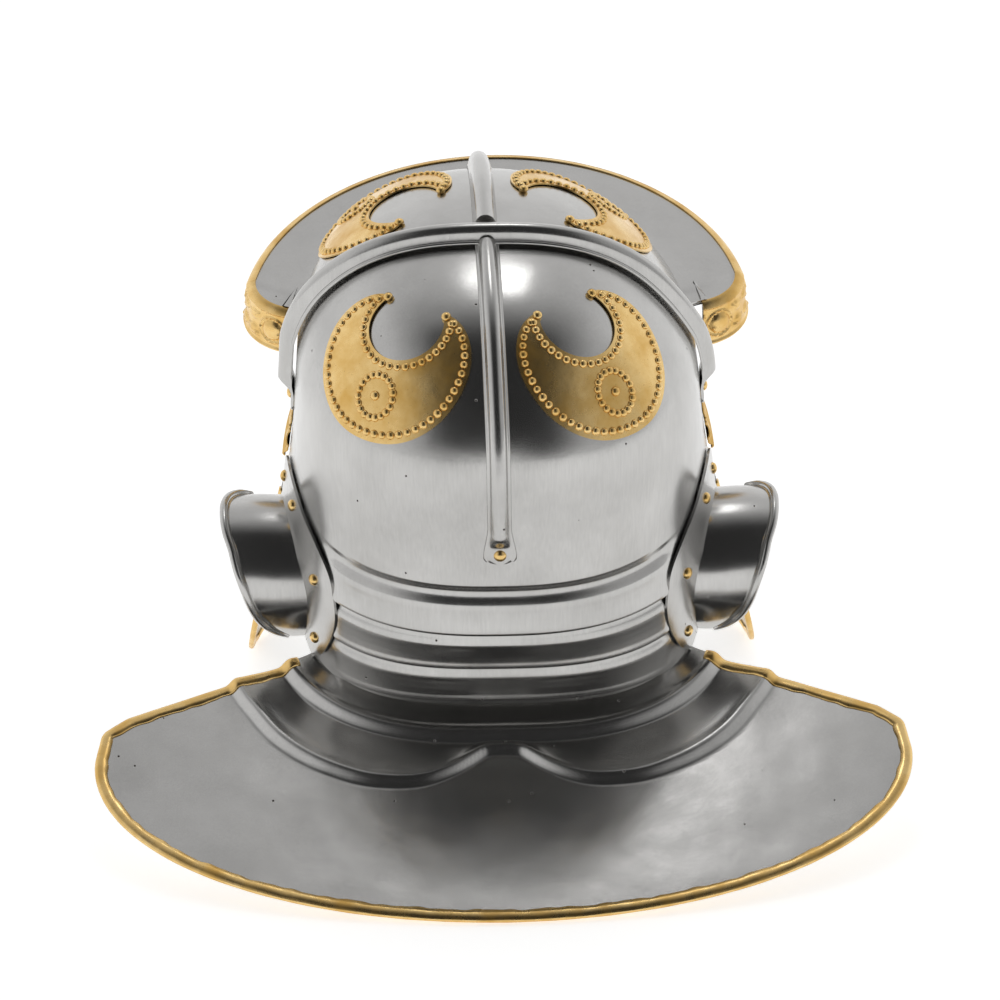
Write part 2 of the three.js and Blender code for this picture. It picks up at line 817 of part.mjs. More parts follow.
// Frames along an edge: out of the plate and up from it, mitred at each corner.
function edgeFrames(path, up, loop = false) {
  const count = path.length;
  const way = (i, j) => path[(j + count) % count].clone().sub(path[(i + count) % count]).normalize();
  return path.map((origin, i) => {
    const before = loop || i > 0 ? way(i - 1, i) : way(i, i + 1);
    const after = loop || i < count - 1 ? way(i, i + 1) : before;
    const upHere = typeof up === 'function' ? up(i) : up;
    const along = before.clone().add(after).normalize();
    const out = new THREE.Vector3().crossVectors(along, upHere).normalize();
    const mitre = Math.min(1 / Math.max(along.dot(before), 0.5), 1.6);
    return { origin: origin.clone(), a: out.multiplyScalar(mitre), b: upHere.clone() };
  });
}

// Ear guards

function earGrid(side) {
  const lift = ear_lift + ear_sheet;
  return ear_rows.map(({ turn, arch, flange, reach }) => {
    const c = Math.cos(turn * degree);
    const d = Math.sin(turn * degree);
    const root = ear_radius * arch;
    const seat = (radius, away) => {
      const p = sidePoint(side, ear_y + radius * c, ear_z + radius * d);
      return p.addScaledVector(bowlNormal(p), away);
    };
    const outer = seat(root + ear_flange * flange, lift);
    const middle = seat(root + ear_flange * flange * 0.5, lift);
    const neck = seat(root + 1.5, lift + 0.4);
    const scoop = [0.12, 0.4, 0.7, 0.93, 1].map((share) => {
      const out = ear_reach * reach * share;
      const radius = root + ear_bulge * Math.sin(Math.PI * share) * reach + (share === 1 ? ear_rim * 0.3 : 0);
      return new THREE.Vector3(neck.x + side * out, ear_y + radius * c, ear_z + radius * d);
    });
    return [outer, middle, neck, ...scoop];
  });
}

function earGuard(side) {
  const outside = earGrid(side);
  const normals = gridNormals(outside, (p) => (
    new THREE.Vector3(side * 0.4, (p.y - ear_y) / ear_radius, (p.z - ear_z) / ear_radius)));
  const last = outside[0].length - 1;
  const inside = offsetGrid(outside, normals, (i, j) => (j === last ? -ear_rim : -ear_sheet));
  return sheet(outside, inside);
}

// Rivets

function dome(radius, height) {
  const circle = (r, z) => evenSteps(0, Math.PI * 2, 8).slice(0, -1)
    .map((turn) => new THREE.Vector3(r * Math.cos(turn), r * Math.sin(turn), z));
  return skin([circle(radius, 0), circle(radius * 0.75, height * 0.65)], {
    endTip: new THREE.Vector3(0, 0, height),
  });
}

// A rivet head on a spot, pointing along a direction, with its seat gap under it.
function rivetOn(name, spot, direction, radius = rivet_radius, height = rivet_dome) {
  const head = piece(name, dome(radius, height), brass);
  head.position.copy(spot).addScaledVector(direction, seat_gap);
  head.quaternion.setFromUnitVectors(new THREE.Vector3(0, 0, 1), direction.clone().normalize());
  return head;
}

// Crescents

// A crescent laid on the dome: its bite faces the crown, and its horns reach round the bite.
function crescent(x, y, turnSide) {
  const above = new THREE.Vector3(x, y, crown_height * 1.3);
  const centre = bowlHit(above, new THREE.Vector3(0, 0, -1));
  const normal = bowlNormal(centre);
  const toCrown = new THREE.Vector3(0, 0, 1).addScaledVector(normal, -normal.z).normalize();
  const away = toCrown.clone().negate().applyAxisAngle(normal, turnSide * crescent_turn * degree);
  const across = new THREE.Vector3().crossVectors(normal, away);
  const widest = crescent_rows[crescent_rows.length - 1].turn;
  const turns = evenSteps(-widest, widest, crescent_steps);
  const laid = (turn, radius, lift) => {
    const flat = centre.clone()
      .addScaledVector(away, radius * Math.cos(turn * degree))
      .addScaledVector(across, radius * Math.sin(turn * degree));
    const hit = bowlHit(flat.addScaledVector(normal, 60), normal.clone().negate());
    return hit.addScaledVector(bowlNormal(hit), lift);
  };
  const shares = [0, 0.12, 0.38, 0.63, 0.88, 1];
  const grid = (lifts) => turns.map((turn) => {
    const rim = lookUp(crescent_rows, 'turn', 'rim', Math.abs(turn)) * crescent_size;
    return shares.map((share, j) => laid(turn, mix(crescent_bite, rim, share), lifts[j]));
  });
  const low = crescent_lift;
  const flat = low + brass_sheet;
  const proud = flat + bead_line;
  return sheet(grid([flat, proud, flat, flat, proud, flat]), grid(shares.map(() => low)));
}

// Cheek guards, in the hinge's own frame: x out, y along the hinge, z up

const cheek_plane = knuckle_radius - leaf_sheet;

function cheekSpot(down, along) {
  const back = lookUp(cheek_rows, 'down', 'back', down) * cheek_width;
  const fore = lookUp(cheek_rows, 'down', 'fore', down) * cheek_width;
  const y = mix(back, fore, along);
  const curl = between((y + cheek_width * 0.1) / (cheek_width * 0.65), 0, 1) ** 1.6;
  const hollow = between((down - 0.12) * 3, 0, 1);
  return new THREE.Vector3(cheek_plane + seat_gap + cheek_sheet - cheek_curl * curl * hollow, y,
    -cheek_top_gap - down * (cheek_length - cheek_top_gap));
}

// Shares across the cheek guard, closest where it curls.
const cheek_columns = [0, 0.22, 0.45, 0.62, 0.78, 0.9, 1];

function cheekGrid() {
  return cheek_rows.map(({ down }) => cheek_columns.map((along) => cheekSpot(down, along)));
}

function cheekGuard() {
  const outside = cheekGrid();
  const normals = gridNormals(outside, () => new THREE.Vector3(1, 0, 0));
  return sheet(outside, offsetGrid(outside, normals, -cheek_sheet));
}

// Brass edging folded over the cheek guard's edge, all the way round but the hinge edge.
function cheekEdging() {
  const outside = cheekGrid();
  const normals = gridNormals(outside, () => new THREE.Vector3(1, 0, 0));
  const last = outside.length - 1;
  const end = outside[0].length - 1;
  const steps = [];
  for (let i = 1; i <= last; i += 1) steps.push([i, 0]);
  for (let j = 1; j <= end; j += 1) steps.push([last, j]);
  for (let i = last - 1; i >= 1; i -= 1) steps.push([i, end]);
  const path = steps.map(([i, j]) => outside[i][j].clone().addScaledVector(normals[i][j], -cheek_sheet / 2));
  const inner = cheek_sheet / 2 + edging_room;
  const outer = inner + edging_wall;
  const nose = seat_gap + edging_wall;
  const section = [
    [-edging_cover, inner], [-edging_cover, outer], [seat_gap, outer], [nose, 0], [seat_gap, -outer],
    [-edging_cover, -outer], [-edging_cover, -inner], [seat_gap, -inner], [seat_gap, inner],
  ];
  const up = (k) => normals[steps[k][0]][steps[k][1]];
  return sweep(section, edgeFrames(path, up));
}

// Hinges

// Circle about the hinge's axis.
function ringAt(radius, y) {
  return evenSteps(0, Math.PI * 2, 12).slice(0, -1)
    .map((turn) => new THREE.Vector3(radius * Math.cos(turn), y, radius * Math.sin(turn)));
}

const bore_radius = pin_radius + seat_gap;

function tube(from, to) {
  const outside = [ringAt(knuckle_radius, from), ringAt(knuckle_radius, to)];
  const inside = [ringAt(bore_radius, to), ringAt(bore_radius, from)];
  return skin([...outside, ...inside], { loop: true });
}

function plate(x0, x1, y0, y1, z0, z1) {
  const corners = [[x0, y0], [x1, y0], [x1, y1], [x0, y1]];
  const rings = [z0, z1].map((z) => corners.map(([x, y]) => new THREE.Vector3(x, y, z)));
  return skin(rings, { section: corners });
}

const knuckle_ends = [-0.5, -0.17, 0.17, 0.5].map((share) => share * hinge_length);

// Leaf inside the bowl: a plate with a knuckle at each end.
function bowlLeaf() {
  const inner = -knuckle_radius;
  const wing = plate(inner, inner + leaf_sheet, knuckle_ends[0], knuckle_ends[3], 0.5, leaf_height);
  const slot = plate(-knuckle_reach, bore_radius, knuckle_ends[1] - knuckle_gap,
    knuckle_ends[2] + knuckle_gap, -knuckle_reach, knuckle_reach);
  return toGeometry(toManifold(wing).subtract(toManifold(slot))
    .add(toManifold(tube(knuckle_ends[0], knuckle_ends[1] - knuckle_gap)))
    .add(toManifold(tube(knuckle_ends[2] + knuckle_gap, knuckle_ends[3])))
    .subtract(toManifold(boreRod())));
}

function boreRod() {
  return skin([ringAt(bore_radius, -hinge_length), ringAt(bore_radius, hinge_length)]);
}

// Leaf inside the cheek guard: one knuckle in the middle.
function cheekLeaf() {
  const out = cheek_plane;
  const wing = plate(out - leaf_sheet, out, knuckle_ends[0], knuckle_ends[3], -leaf_height, -0.5);
  const high = 1;
  const far = knuckle_reach;
  const first = plate(-far, far, knuckle_ends[0] - 1, knuckle_ends[1] + knuckle_gap, -far, high);
  const second = plate(-far, far, knuckle_ends[2] - knuckle_gap, knuckle_ends[3] + 1, -far, high);
  return toGeometry(toManifold(wing).subtract(toManifold(first)).subtract(toManifold(second))
    .add(toManifold(tube(knuckle_ends[1] + knuckle_gap, knuckle_ends[2] - knuckle_gap)))
    .subtract(toManifold(boreRod())));
}

function hingePin() {
  const end = hinge_length / 2 + seat_gap;
  const low = [ringAt(pin_head_radius, -end - pin_head), ringAt(pin_head_radius, -end)];
  const shank = [ringAt(pin_radius, -end), ringAt(pin_radius, end)];
  const high = [ringAt(pin_head_radius, end), ringAt(pin_head_radius, end + pin_head)];
  return skin([...low, ...shank, ...high]);
}

// Assembly

function piece(name, geometry, material) {
  const mesh = new THREE.Mesh(geometry, material);
  mesh.name = name;
  return mesh;
}

// Places for rivet heads on the helmet itself: where each sits and which way it points.
function barRivetSpot(frames, index) {
  const flat = frames[index];
  const foot = frames[index + (index === 0 ? 1 : -1)];
  const middle = flat.origin.clone().add(foot.origin).multiplyScalar(0.5);
  const up = flat.b.clone().add(foot.b).normalize();
  return { spot: middle.addScaledVector(up, bar_flange * 1.2), up };
}

function earRivetSpot(side, turn) {
  const row = (column) => lookUp(ear_rows, 'turn', column, turn);
  const radius = ear_radius * row('arch') + ear_flange * row('flange') * 0.5;
  const y = ear_y + radius * Math.cos(turn * degree);
  const z = ear_z + radius * Math.sin(turn * degree);
  const p = sidePoint(side, y, z);
  const up = bowlNormal(p);
  return { spot: p.addScaledVector(up, ear_lift + ear_sheet), up };
}

function tabRivetSpot(side) {
  const spot = tabSpot(side, 0.75, 0.62);
  return { spot, up: bowlNormal(spot) };
}

// The left guard in its hinge's frame runs the other way along the hinge.
function mirrored(geometry) {
  const copy = geometry.clone();
  const position = copy.getAttribute('position');
  for (let i = 0; i < position.count; i += 1) position.setY(i, -position.getY(i));
  const index = Array.from(copy.getIndex().array);
  for (let i = 0; i < index.length; i += 3) [index[i + 1], index[i + 2]] = [index[i + 2], index[i + 1]];
  copy.setIndex(index);
  return copy;
}

const helmet = new THREE.Group();
const binding = piece('neck_guard_binding', guardBinding(), brass);
helmet.add(
  piece('bowl', bowl(), steel),
  piece('neck_guard', neckGuard(), steel),
  binding,
  piece('cross_bar', crossBar(), steel),
  piece('front_bar', middleBar(true, front_bar_foot, front_bar_height), steel),
  piece('rear_bar', middleBar(false, rear_bar_foot, bar_height), steel),
  piece('brow_peak', toGeometry(peakPlate()), steel),
  piece('brow_peak_trim', peakTrim(), brass),
  piece('brow_strip', browStrip(), brass),
);

const cross_frames = crossBarFrames();
const front_frames = middleBarFrames(true, front_bar_foot);
const rear_frames = middleBarFrames(false, rear_bar_foot);
const bar_rivets = {
  cross_bar_rivet_left: barRivetSpot(cross_frames, 0),
  cross_bar_rivet_right: barRivetSpot(cross_frames, cross_frames.length - 1),
  front_bar_rivet: barRivetSpot(front_frames, front_frames.length - 1),
  rear_bar_rivet: barRivetSpot(rear_frames, rear_frames.length - 1),
};
for (const [name, { spot, up }] of Object.entries(bar_rivets)) helmet.add(rivetOn(name, spot, up));

const edgings = [];
for (const [word, side] of [['left', -1], ['right', 1]]) {
  helmet.add(piece(`crescent_rear_${word}`, crescent(side * crescent_x, crescent_rear_y, -side), brass));
  helmet.add(piece(`crescent_front_${word}`, crescent(side * crescent_x, crescent_front_y, side), brass));
  helmet.add(piece(`ear_guard_${word}`, earGuard(side), steel));
  ear_rivet_turns.forEach((turn, i) => {
    const { spot, up } = earRivetSpot(side, turn);
    helmet.add(rivetOn(`ear_rivet_${word}_${i + 1}`, spot, up));
  });
  const tab = tabRivetSpot(side);
  helmet.add(rivetOn(`peak_rivet_${word}`, tab.spot, tab.up));

  // The hinge's frame: x out of the helmet's side, y along the hinge's axis.
  const seat = sidePoint(side, hinge_y, leaf_height - hinge_drop);
  const facing = bowlNormal(new THREE.Vector3(seat.x, seat.y, 1));
  const yaw = Math.atan2(facing.y, facing.x);
  const bend = hinge_length ** 2 / (8 * bowl_half_width);
  const inset = bowl_wall + seat_gap * 2 + bend - knuckle_radius + leaf_sheet;
  const hinge = new THREE.Group();
  hinge.position.set(seat.x - Math.cos(yaw) * inset, seat.y - Math.sin(yaw) * inset, -hinge_drop);
  hinge.rotation.z = yaw;
  hinge.add(piece(`hinge_leaf_bowl_${word}`, bowlLeaf(), dark_steel));
  hinge.add(piece(`hinge_pin_${word}`, hingePin(), dark_steel));

  const swing = new THREE.Group();
  swing.rotation.y = -cheek_splay * degree;
  const laid = (geometry) => (side < 0 ? mirrored(geometry) : geometry);
  const edging = piece(`cheek_edging_${word}`, laid(cheekEdging()), brass);
  edgings.push(edging);
  swing.add(piece(`hinge_leaf_cheek_${word}`, cheekLeaf(), dark_steel));
  swing.add(piece(`cheek_guard_${word}`, laid(cheekGuard()), steel));
  swing.add(edging);
  const outward = new THREE.Vector3(1, 0, 0);
  const face = cheek_plane + seat_gap + cheek_sheet;
  [-1, 1].forEach((way, i) => {
    const spot = new THREE.Vector3(face, way * hinge_length / 3, -leaf_height * 0.7);
    swing.add(rivetOn(`cheek_rivet_${word}_${i + 1}`, spot, outward, small_rivet_radius, small_rivet_dome));
  });
  [-1, 1].forEach((way, i) => {
    const spot = new THREE.Vector3(-knuckle_radius, way * hinge_length / 3, leaf_height * 0.65);
    const inward = outward.clone().negate();
    hinge.add(rivetOn(`hinge_rivet_${word}_${i + 1}`, spot, inward, small_rivet_radius, small_rivet_dome));
  });
  hinge.add(swing);
  helmet.add(hinge);
}

// How the helmet stands: leant back until the neck guard's edge and the cheek guards' tips
// are level, and then set down with the middle of its box over the origin.

// Points of some pieces in the helmet's own level frame.
function levelPoints(meshes) {
  helmet.updateMatrixWorld(true);
  return meshes.flatMap((mesh) => {
    const position = mesh.geometry.getAttribute('position');
    return Array.from({ length: position.count }, (_, i) => (
      new THREE.Vector3().fromBufferAttribute(position, i).applyMatrix4(mesh.matrixWorld)));
  });
}

function lowest(points, lean) {
  return Math.min(...points.map((p) => p.y * Math.sin(lean) + p.z * Math.cos(lean)));
}

function restLean() {
  const rear = levelPoints([binding]);
  const tips = levelPoints(edgings);
  let low = -Math.PI / 3;
  let high = Math.PI / 3;
  for (let i = 0; i < halvings; i += 1) {
    const middle = (low + high) / 2;
    if (lowest(rear, middle) > lowest(tips, middle)) low = middle;
    else high = middle;
  }
  return (low + high) / 2;
}

const standing = new THREE.Group();
const lean = restLean();
helmet.rotation.x = lean;
standing.add(helmet);
const box = new THREE.Box3().setFromObject(standing, true);
helmet.position.set(-(box.min.x + box.max.x) / 2, -(box.min.y + box.max.y) / 2, -box.min.z);

export default standing;
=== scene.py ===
"""Roman legionary helmet, dressed: polished steel with brass fittings, seen from behind.

All shapes are worked out in millimetres in the helmet's level frame, with the brow rim at
height zero, and are then leant back and set down as the helmet stands by itself.
"""

import json
import logging
import math
from dataclasses import dataclass
from enum import Enum
from typing import Optional, Sequence

import bmesh
import bpy
import numpy as np
from mathutils import Matrix, Vector


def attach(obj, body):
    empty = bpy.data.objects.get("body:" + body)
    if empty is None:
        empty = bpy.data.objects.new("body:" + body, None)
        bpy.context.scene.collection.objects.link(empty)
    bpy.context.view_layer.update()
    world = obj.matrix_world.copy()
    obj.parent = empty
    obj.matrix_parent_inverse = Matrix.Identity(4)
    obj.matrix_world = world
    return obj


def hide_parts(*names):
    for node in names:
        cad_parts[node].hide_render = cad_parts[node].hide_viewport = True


logging.basicConfig(level=logging.INFO, format="%(message)s")
log = logging.getLogger("helmet")

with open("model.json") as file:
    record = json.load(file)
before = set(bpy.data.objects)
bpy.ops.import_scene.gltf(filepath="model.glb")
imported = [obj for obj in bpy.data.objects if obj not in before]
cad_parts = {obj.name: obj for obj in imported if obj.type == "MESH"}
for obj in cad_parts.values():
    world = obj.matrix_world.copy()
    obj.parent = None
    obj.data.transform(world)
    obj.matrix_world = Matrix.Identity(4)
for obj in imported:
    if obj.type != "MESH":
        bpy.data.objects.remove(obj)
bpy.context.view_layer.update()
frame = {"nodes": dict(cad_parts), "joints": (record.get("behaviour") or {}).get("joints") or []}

METRE = 0.001
HELMET = "helmet"

# Search along a line for the bowl: coarse steps in millimetres, and then halvings.
SEARCH_STEPS = 200
SEARCH_STEP = 2
SEARCH_HALVINGS = 26


class Side(Enum):
    """A side of the helmet, by its word and by the sign of its x."""

    LEFT = ("left", -1)
    RIGHT = ("right", 1)

    @property
    def word(self) -> str:
        """Word for the side in a piece's name."""
        return self.value[0]

    @property
    def sign(self) -> int:
        """Sign of x on the side."""
        return self.value[1]


# ---- Placing ----


@dataclass(frozen=True)
class Stand:
    """How the level helmet is leant back and set down, and how its hand-raised dome sways."""

    lean: float
    shift: tuple[float, float, float]
    sway: float = 0.038
    sway_from: float = 100.0
    sway_rise: tuple[float, float] = (66.0, 115.0)

    def matrix(self) -> Matrix:
        """Matrix from the level frame in millimetres to the standing frame in millimetres."""
        return Matrix.Translation(self.shift) @ Matrix.Rotation(self.lean, 4, "X")

    def place(self, points: np.ndarray) -> np.ndarray:
        """Level points in millimetres as standing points in metres.

        Args:
            points: Points in the level frame, one on each row.

        Returns:
            The same points in the standing frame, in metres.
        """
        points = np.array(points, dtype=float)
        points[:, 0] -= self.sway * (points[:, 1] + self.sway_from) * smooth(points[:, 2], *self.sway_rise)
        turn = np.array(self.matrix())
        return (points @ turn[:3, :3].T + turn[:3, 3]) * METRE

    def aim(self, directions: np.ndarray) -> np.ndarray:
        """Level directions as standing directions."""
        return directions @ np.array(self.matrix())[:3, :3].T


def hinge_lean() -> float:
    """Lean of the helmet, read from the cheek guards' hinge axis, in radians."""
    axis = frame["joints"][0]["axis"]
    return math.atan2(abs(axis[2]), abs(axis[1]))


STAND = Stand(lean=hinge_lean(), shift=(0.0, 16.0711, 138.2854))


# ---- Number helpers ----


def smooth(value: np.ndarray, low: float, high: float) -> np.ndarray:
    """Eased step from 0 at low to 1 at high."""
    t = np.clip((np.asarray(value, dtype=float) - low) / (high - low), 0.0, 1.0)
    return t * t * (3 - 2 * t)


def bump(value: np.ndarray, centre: float, width: float) -> np.ndarray:
    """Rounded hump of height 1 about a centre."""
    return np.exp(-(((np.asarray(value, dtype=float) - centre) / width) ** 2))


def unit(vectors: np.ndarray) -> np.ndarray:
    """Vectors scaled to length 1."""
    length = np.linalg.norm(vectors, axis=-1, keepdims=True)
    return vectors / np.maximum(length, 1e-9)


def curve_through(knots: Sequence[Sequence[float]], at: np.ndarray) -> np.ndarray:
    """Smooth curve through knots.

    Args:
        knots: Rows of a rising key and one or more values.
        at: Keys to read the curve at.

    Returns:
        One row of values for each key, or one number where the knots hold one value.
    """
    rows = np.array(knots, dtype=float)
    keys, values = rows[:, 0], rows[:, 1:]
    slopes = np.gradient(values, keys, axis=0)
    at = np.clip(np.asarray(at, dtype=float), keys[0], keys[-1])
    i = np.clip(np.searchsorted(keys, at, side="right") - 1, 0, len(keys) - 2)
    span = (keys[i + 1] - keys[i])[..., None]
    t = ((at - keys[i]) / span[..., 0])[..., None]
    a = values[i] * (2 * t**3 - 3 * t**2 + 1) + slopes[i] * span * (t**3 - 2 * t**2 + t)
    b = values[i + 1] * (3 * t**2 - 2 * t**3) + slopes[i + 1] * span * (t**3 - t**2)
    out = a + b
    return out[..., 0] if values.shape[1] == 1 else out


def resample(path: np.ndarray, step: float) -> np.ndarray:
    """Points evenly spaced along a path.

    Args:
        path: Points of the path in order.
        step: Spacing wanted, in the path's unit.

    Returns:
        The path at even spacing, with both its ends kept.
    """
    gaps = np.linalg.norm(np.diff(path, axis=0), axis=1)
    run = np.concatenate([[0.0], np.cumsum(gaps)])
    count = max(int(round(run[-1] / step)), 2)
    at = np.linspace(0.0, run[-1], count + 1)
    return np.stack([np.interp(at, run, path[:, k]) for k in range(path.shape[1])], axis=1)


# ---- Meshes ----


def add_object(name: str, vertices: np.ndarray, faces: Sequence[Sequence[int]]) -> bpy.types.Object:
    """A smooth-shaded object from standing points in metres."""
    mesh = bpy.data.meshes.new(name)
    mesh.from_pydata(vertices.tolist(), [], [tuple(int(i) for i in f) for f in faces])
    mesh.validate()
    mesh.shade_smooth()
    made = bpy.data.objects.new(name, mesh)
    bpy.context.scene.collection.objects.link(made)
    return made


def grid_faces(rows: int, columns: int, around: bool = False) -> np.ndarray:
    """Four-sided faces over a grid of points, closed around its columns where asked."""
    last = columns if around else columns - 1
    i, j = np.meshgrid(np.arange(rows - 1), np.arange(last), indexing="ij")
    k = (j + 1) % columns
    return np.stack([i * columns + j, (i + 1) * columns + j, (i + 1) * columns + k, i * columns + k],
                    -1).reshape(-1, 4)


def faces_towards(points: np.ndarray, faces: np.ndarray, outward: np.ndarray) -> np.ndarray:
    """Faces turned so that most of them face along an outward direction."""
    a, b, c = points[faces[:, 0]], points[faces[:, 1]], points[faces[:, 2]]
    normal = np.cross(b - a, c - a)
    ways = outward if outward.ndim == 1 else outward[faces[:, 0]]
    return faces if float(np.sum(normal * ways)) >= 0 else faces[:, ::-1]


def sheet(name: str, grid: np.ndarray, outward: np.ndarray, thickness: float, edge: float = 0.35,
          even: bool = True) -> bpy.types.Object:
    """A sheet of metal from its outer face.

    Args:
        name: Name of the piece.
        grid: Level points of the outer face, by row and column.
        outward: One direction, or one for each point of the flattened grid.
        thickness: Thickness of the sheet in millimetres, added behind the face.
        edge: Width of the softened edge in millimetres.
        even: Whether the thickness is kept in tight folds, which suits an open shape only.

    Returns:
        The new object, with its thickness and softened edges as modifiers.
    """
    rows, columns, _ = grid.shape
    points = grid.reshape(-1, 3)
    ways = outward.reshape(-1, 3) if outward.ndim > 1 else outward
    faces = faces_towards(points, grid_faces(rows, columns), ways)
    made = add_object(name, STAND.place(points), faces)
    thicken(made, thickness, edge, even)
    return made


def thicken(made: bpy.types.Object, thickness: float, edge: float, even: bool) -> None:
    """Gives a single-walled piece its thickness and softened edges."""
    wall = made.modifiers.new("Wall", "SOLIDIFY")
    wall.thickness = thickness * METRE
    wall.offset = -1.0
    wall.use_even_offset = even
    soften(made, edge)


def soften(made: bpy.types.Object, edge: float, angle: float = 50.0) -> None:
    """Softens a piece's sharp edges with a narrow bevel."""
    rim = made.modifiers.new("Edge", "BEVEL")
    rim.width = edge * METRE
    rim.segments = 2
    rim.limit_method = "ANGLE"
    rim.angle_limit = math.radians(angle)
    rim.harden_normals = True


def sweep(name: str, sections: np.ndarray, origins: np.ndarray, across: np.ndarray, upward: np.ndarray,
          loop: bool = False) -> bpy.types.Object:
    """A closed section carried along a path.

    Args:
        name: Name of the piece.
        sections: One closed section of (across, up) points, or one for each place on the path.
        origins: Level points of the path.
        across: Direction of each section's first axis.
        upward: Direction of each section's second axis.
        loop: Whether the path closes on itself.

    Returns:
        The new object, closed over its ends unless it is a loop.
    """
    if sections.ndim == 2:
        sections = np.repeat(sections[None], len(origins), axis=0)
    points = origins[:, None] + across[:, None] * sections[..., :1] + upward[:, None] * sections[..., 1:2]
    rows, columns = points.shape[:2]
    flat = points.reshape(-1, 3)
    if loop:
        ring = np.concatenate([points, points[:1]]).reshape(-1, 3)
        faces = grid_faces(rows + 1, columns, around=True) % (rows * columns)
        middle = np.repeat(origins, columns, axis=0)
        faces = faces_towards(ring[:rows * columns], faces, flat - middle)
        return add_object(name, STAND.place(flat), faces)
    middle = points.mean(axis=1)
    faces = faces_towards(flat, grid_faces(rows, columns, around=True),
                          flat - np.repeat(middle, columns, axis=0))
    start, end = len(flat), len(flat) + 1
    flat = np.concatenate([flat, middle[:1], middle[-1:]])
    first = faces[0]
    along = bool((first[1] - first[0]) % columns == 0)
    caps = []
    for j in range(columns):
        k = (j + 1) % columns
        low, high = (k, j) if along else (j, k)
        caps.append((start, low, high))
        caps.append((end, (rows - 1) * columns + high, (rows - 1) * columns + low))
    return add_object(name, STAND.place(flat), list(map(tuple, faces.tolist())) + caps)


def outward_faces(made: bpy.types.Object) -> bpy.types.Object:
    """Turns a closed piece's faces outwards, after its doubled points are merged."""
    shell = bmesh.new()
    shell.from_mesh(made.data)
    bmesh.ops.remove_doubles(shell, verts=shell.verts, dist=1e-7)
    bmesh.ops.recalc_face_normals(shell, faces=shell.faces)
    shell.to_mesh(made.data)
    shell.free()
    made.data.shade_smooth()
    return made


# ---- The bowl's form ----


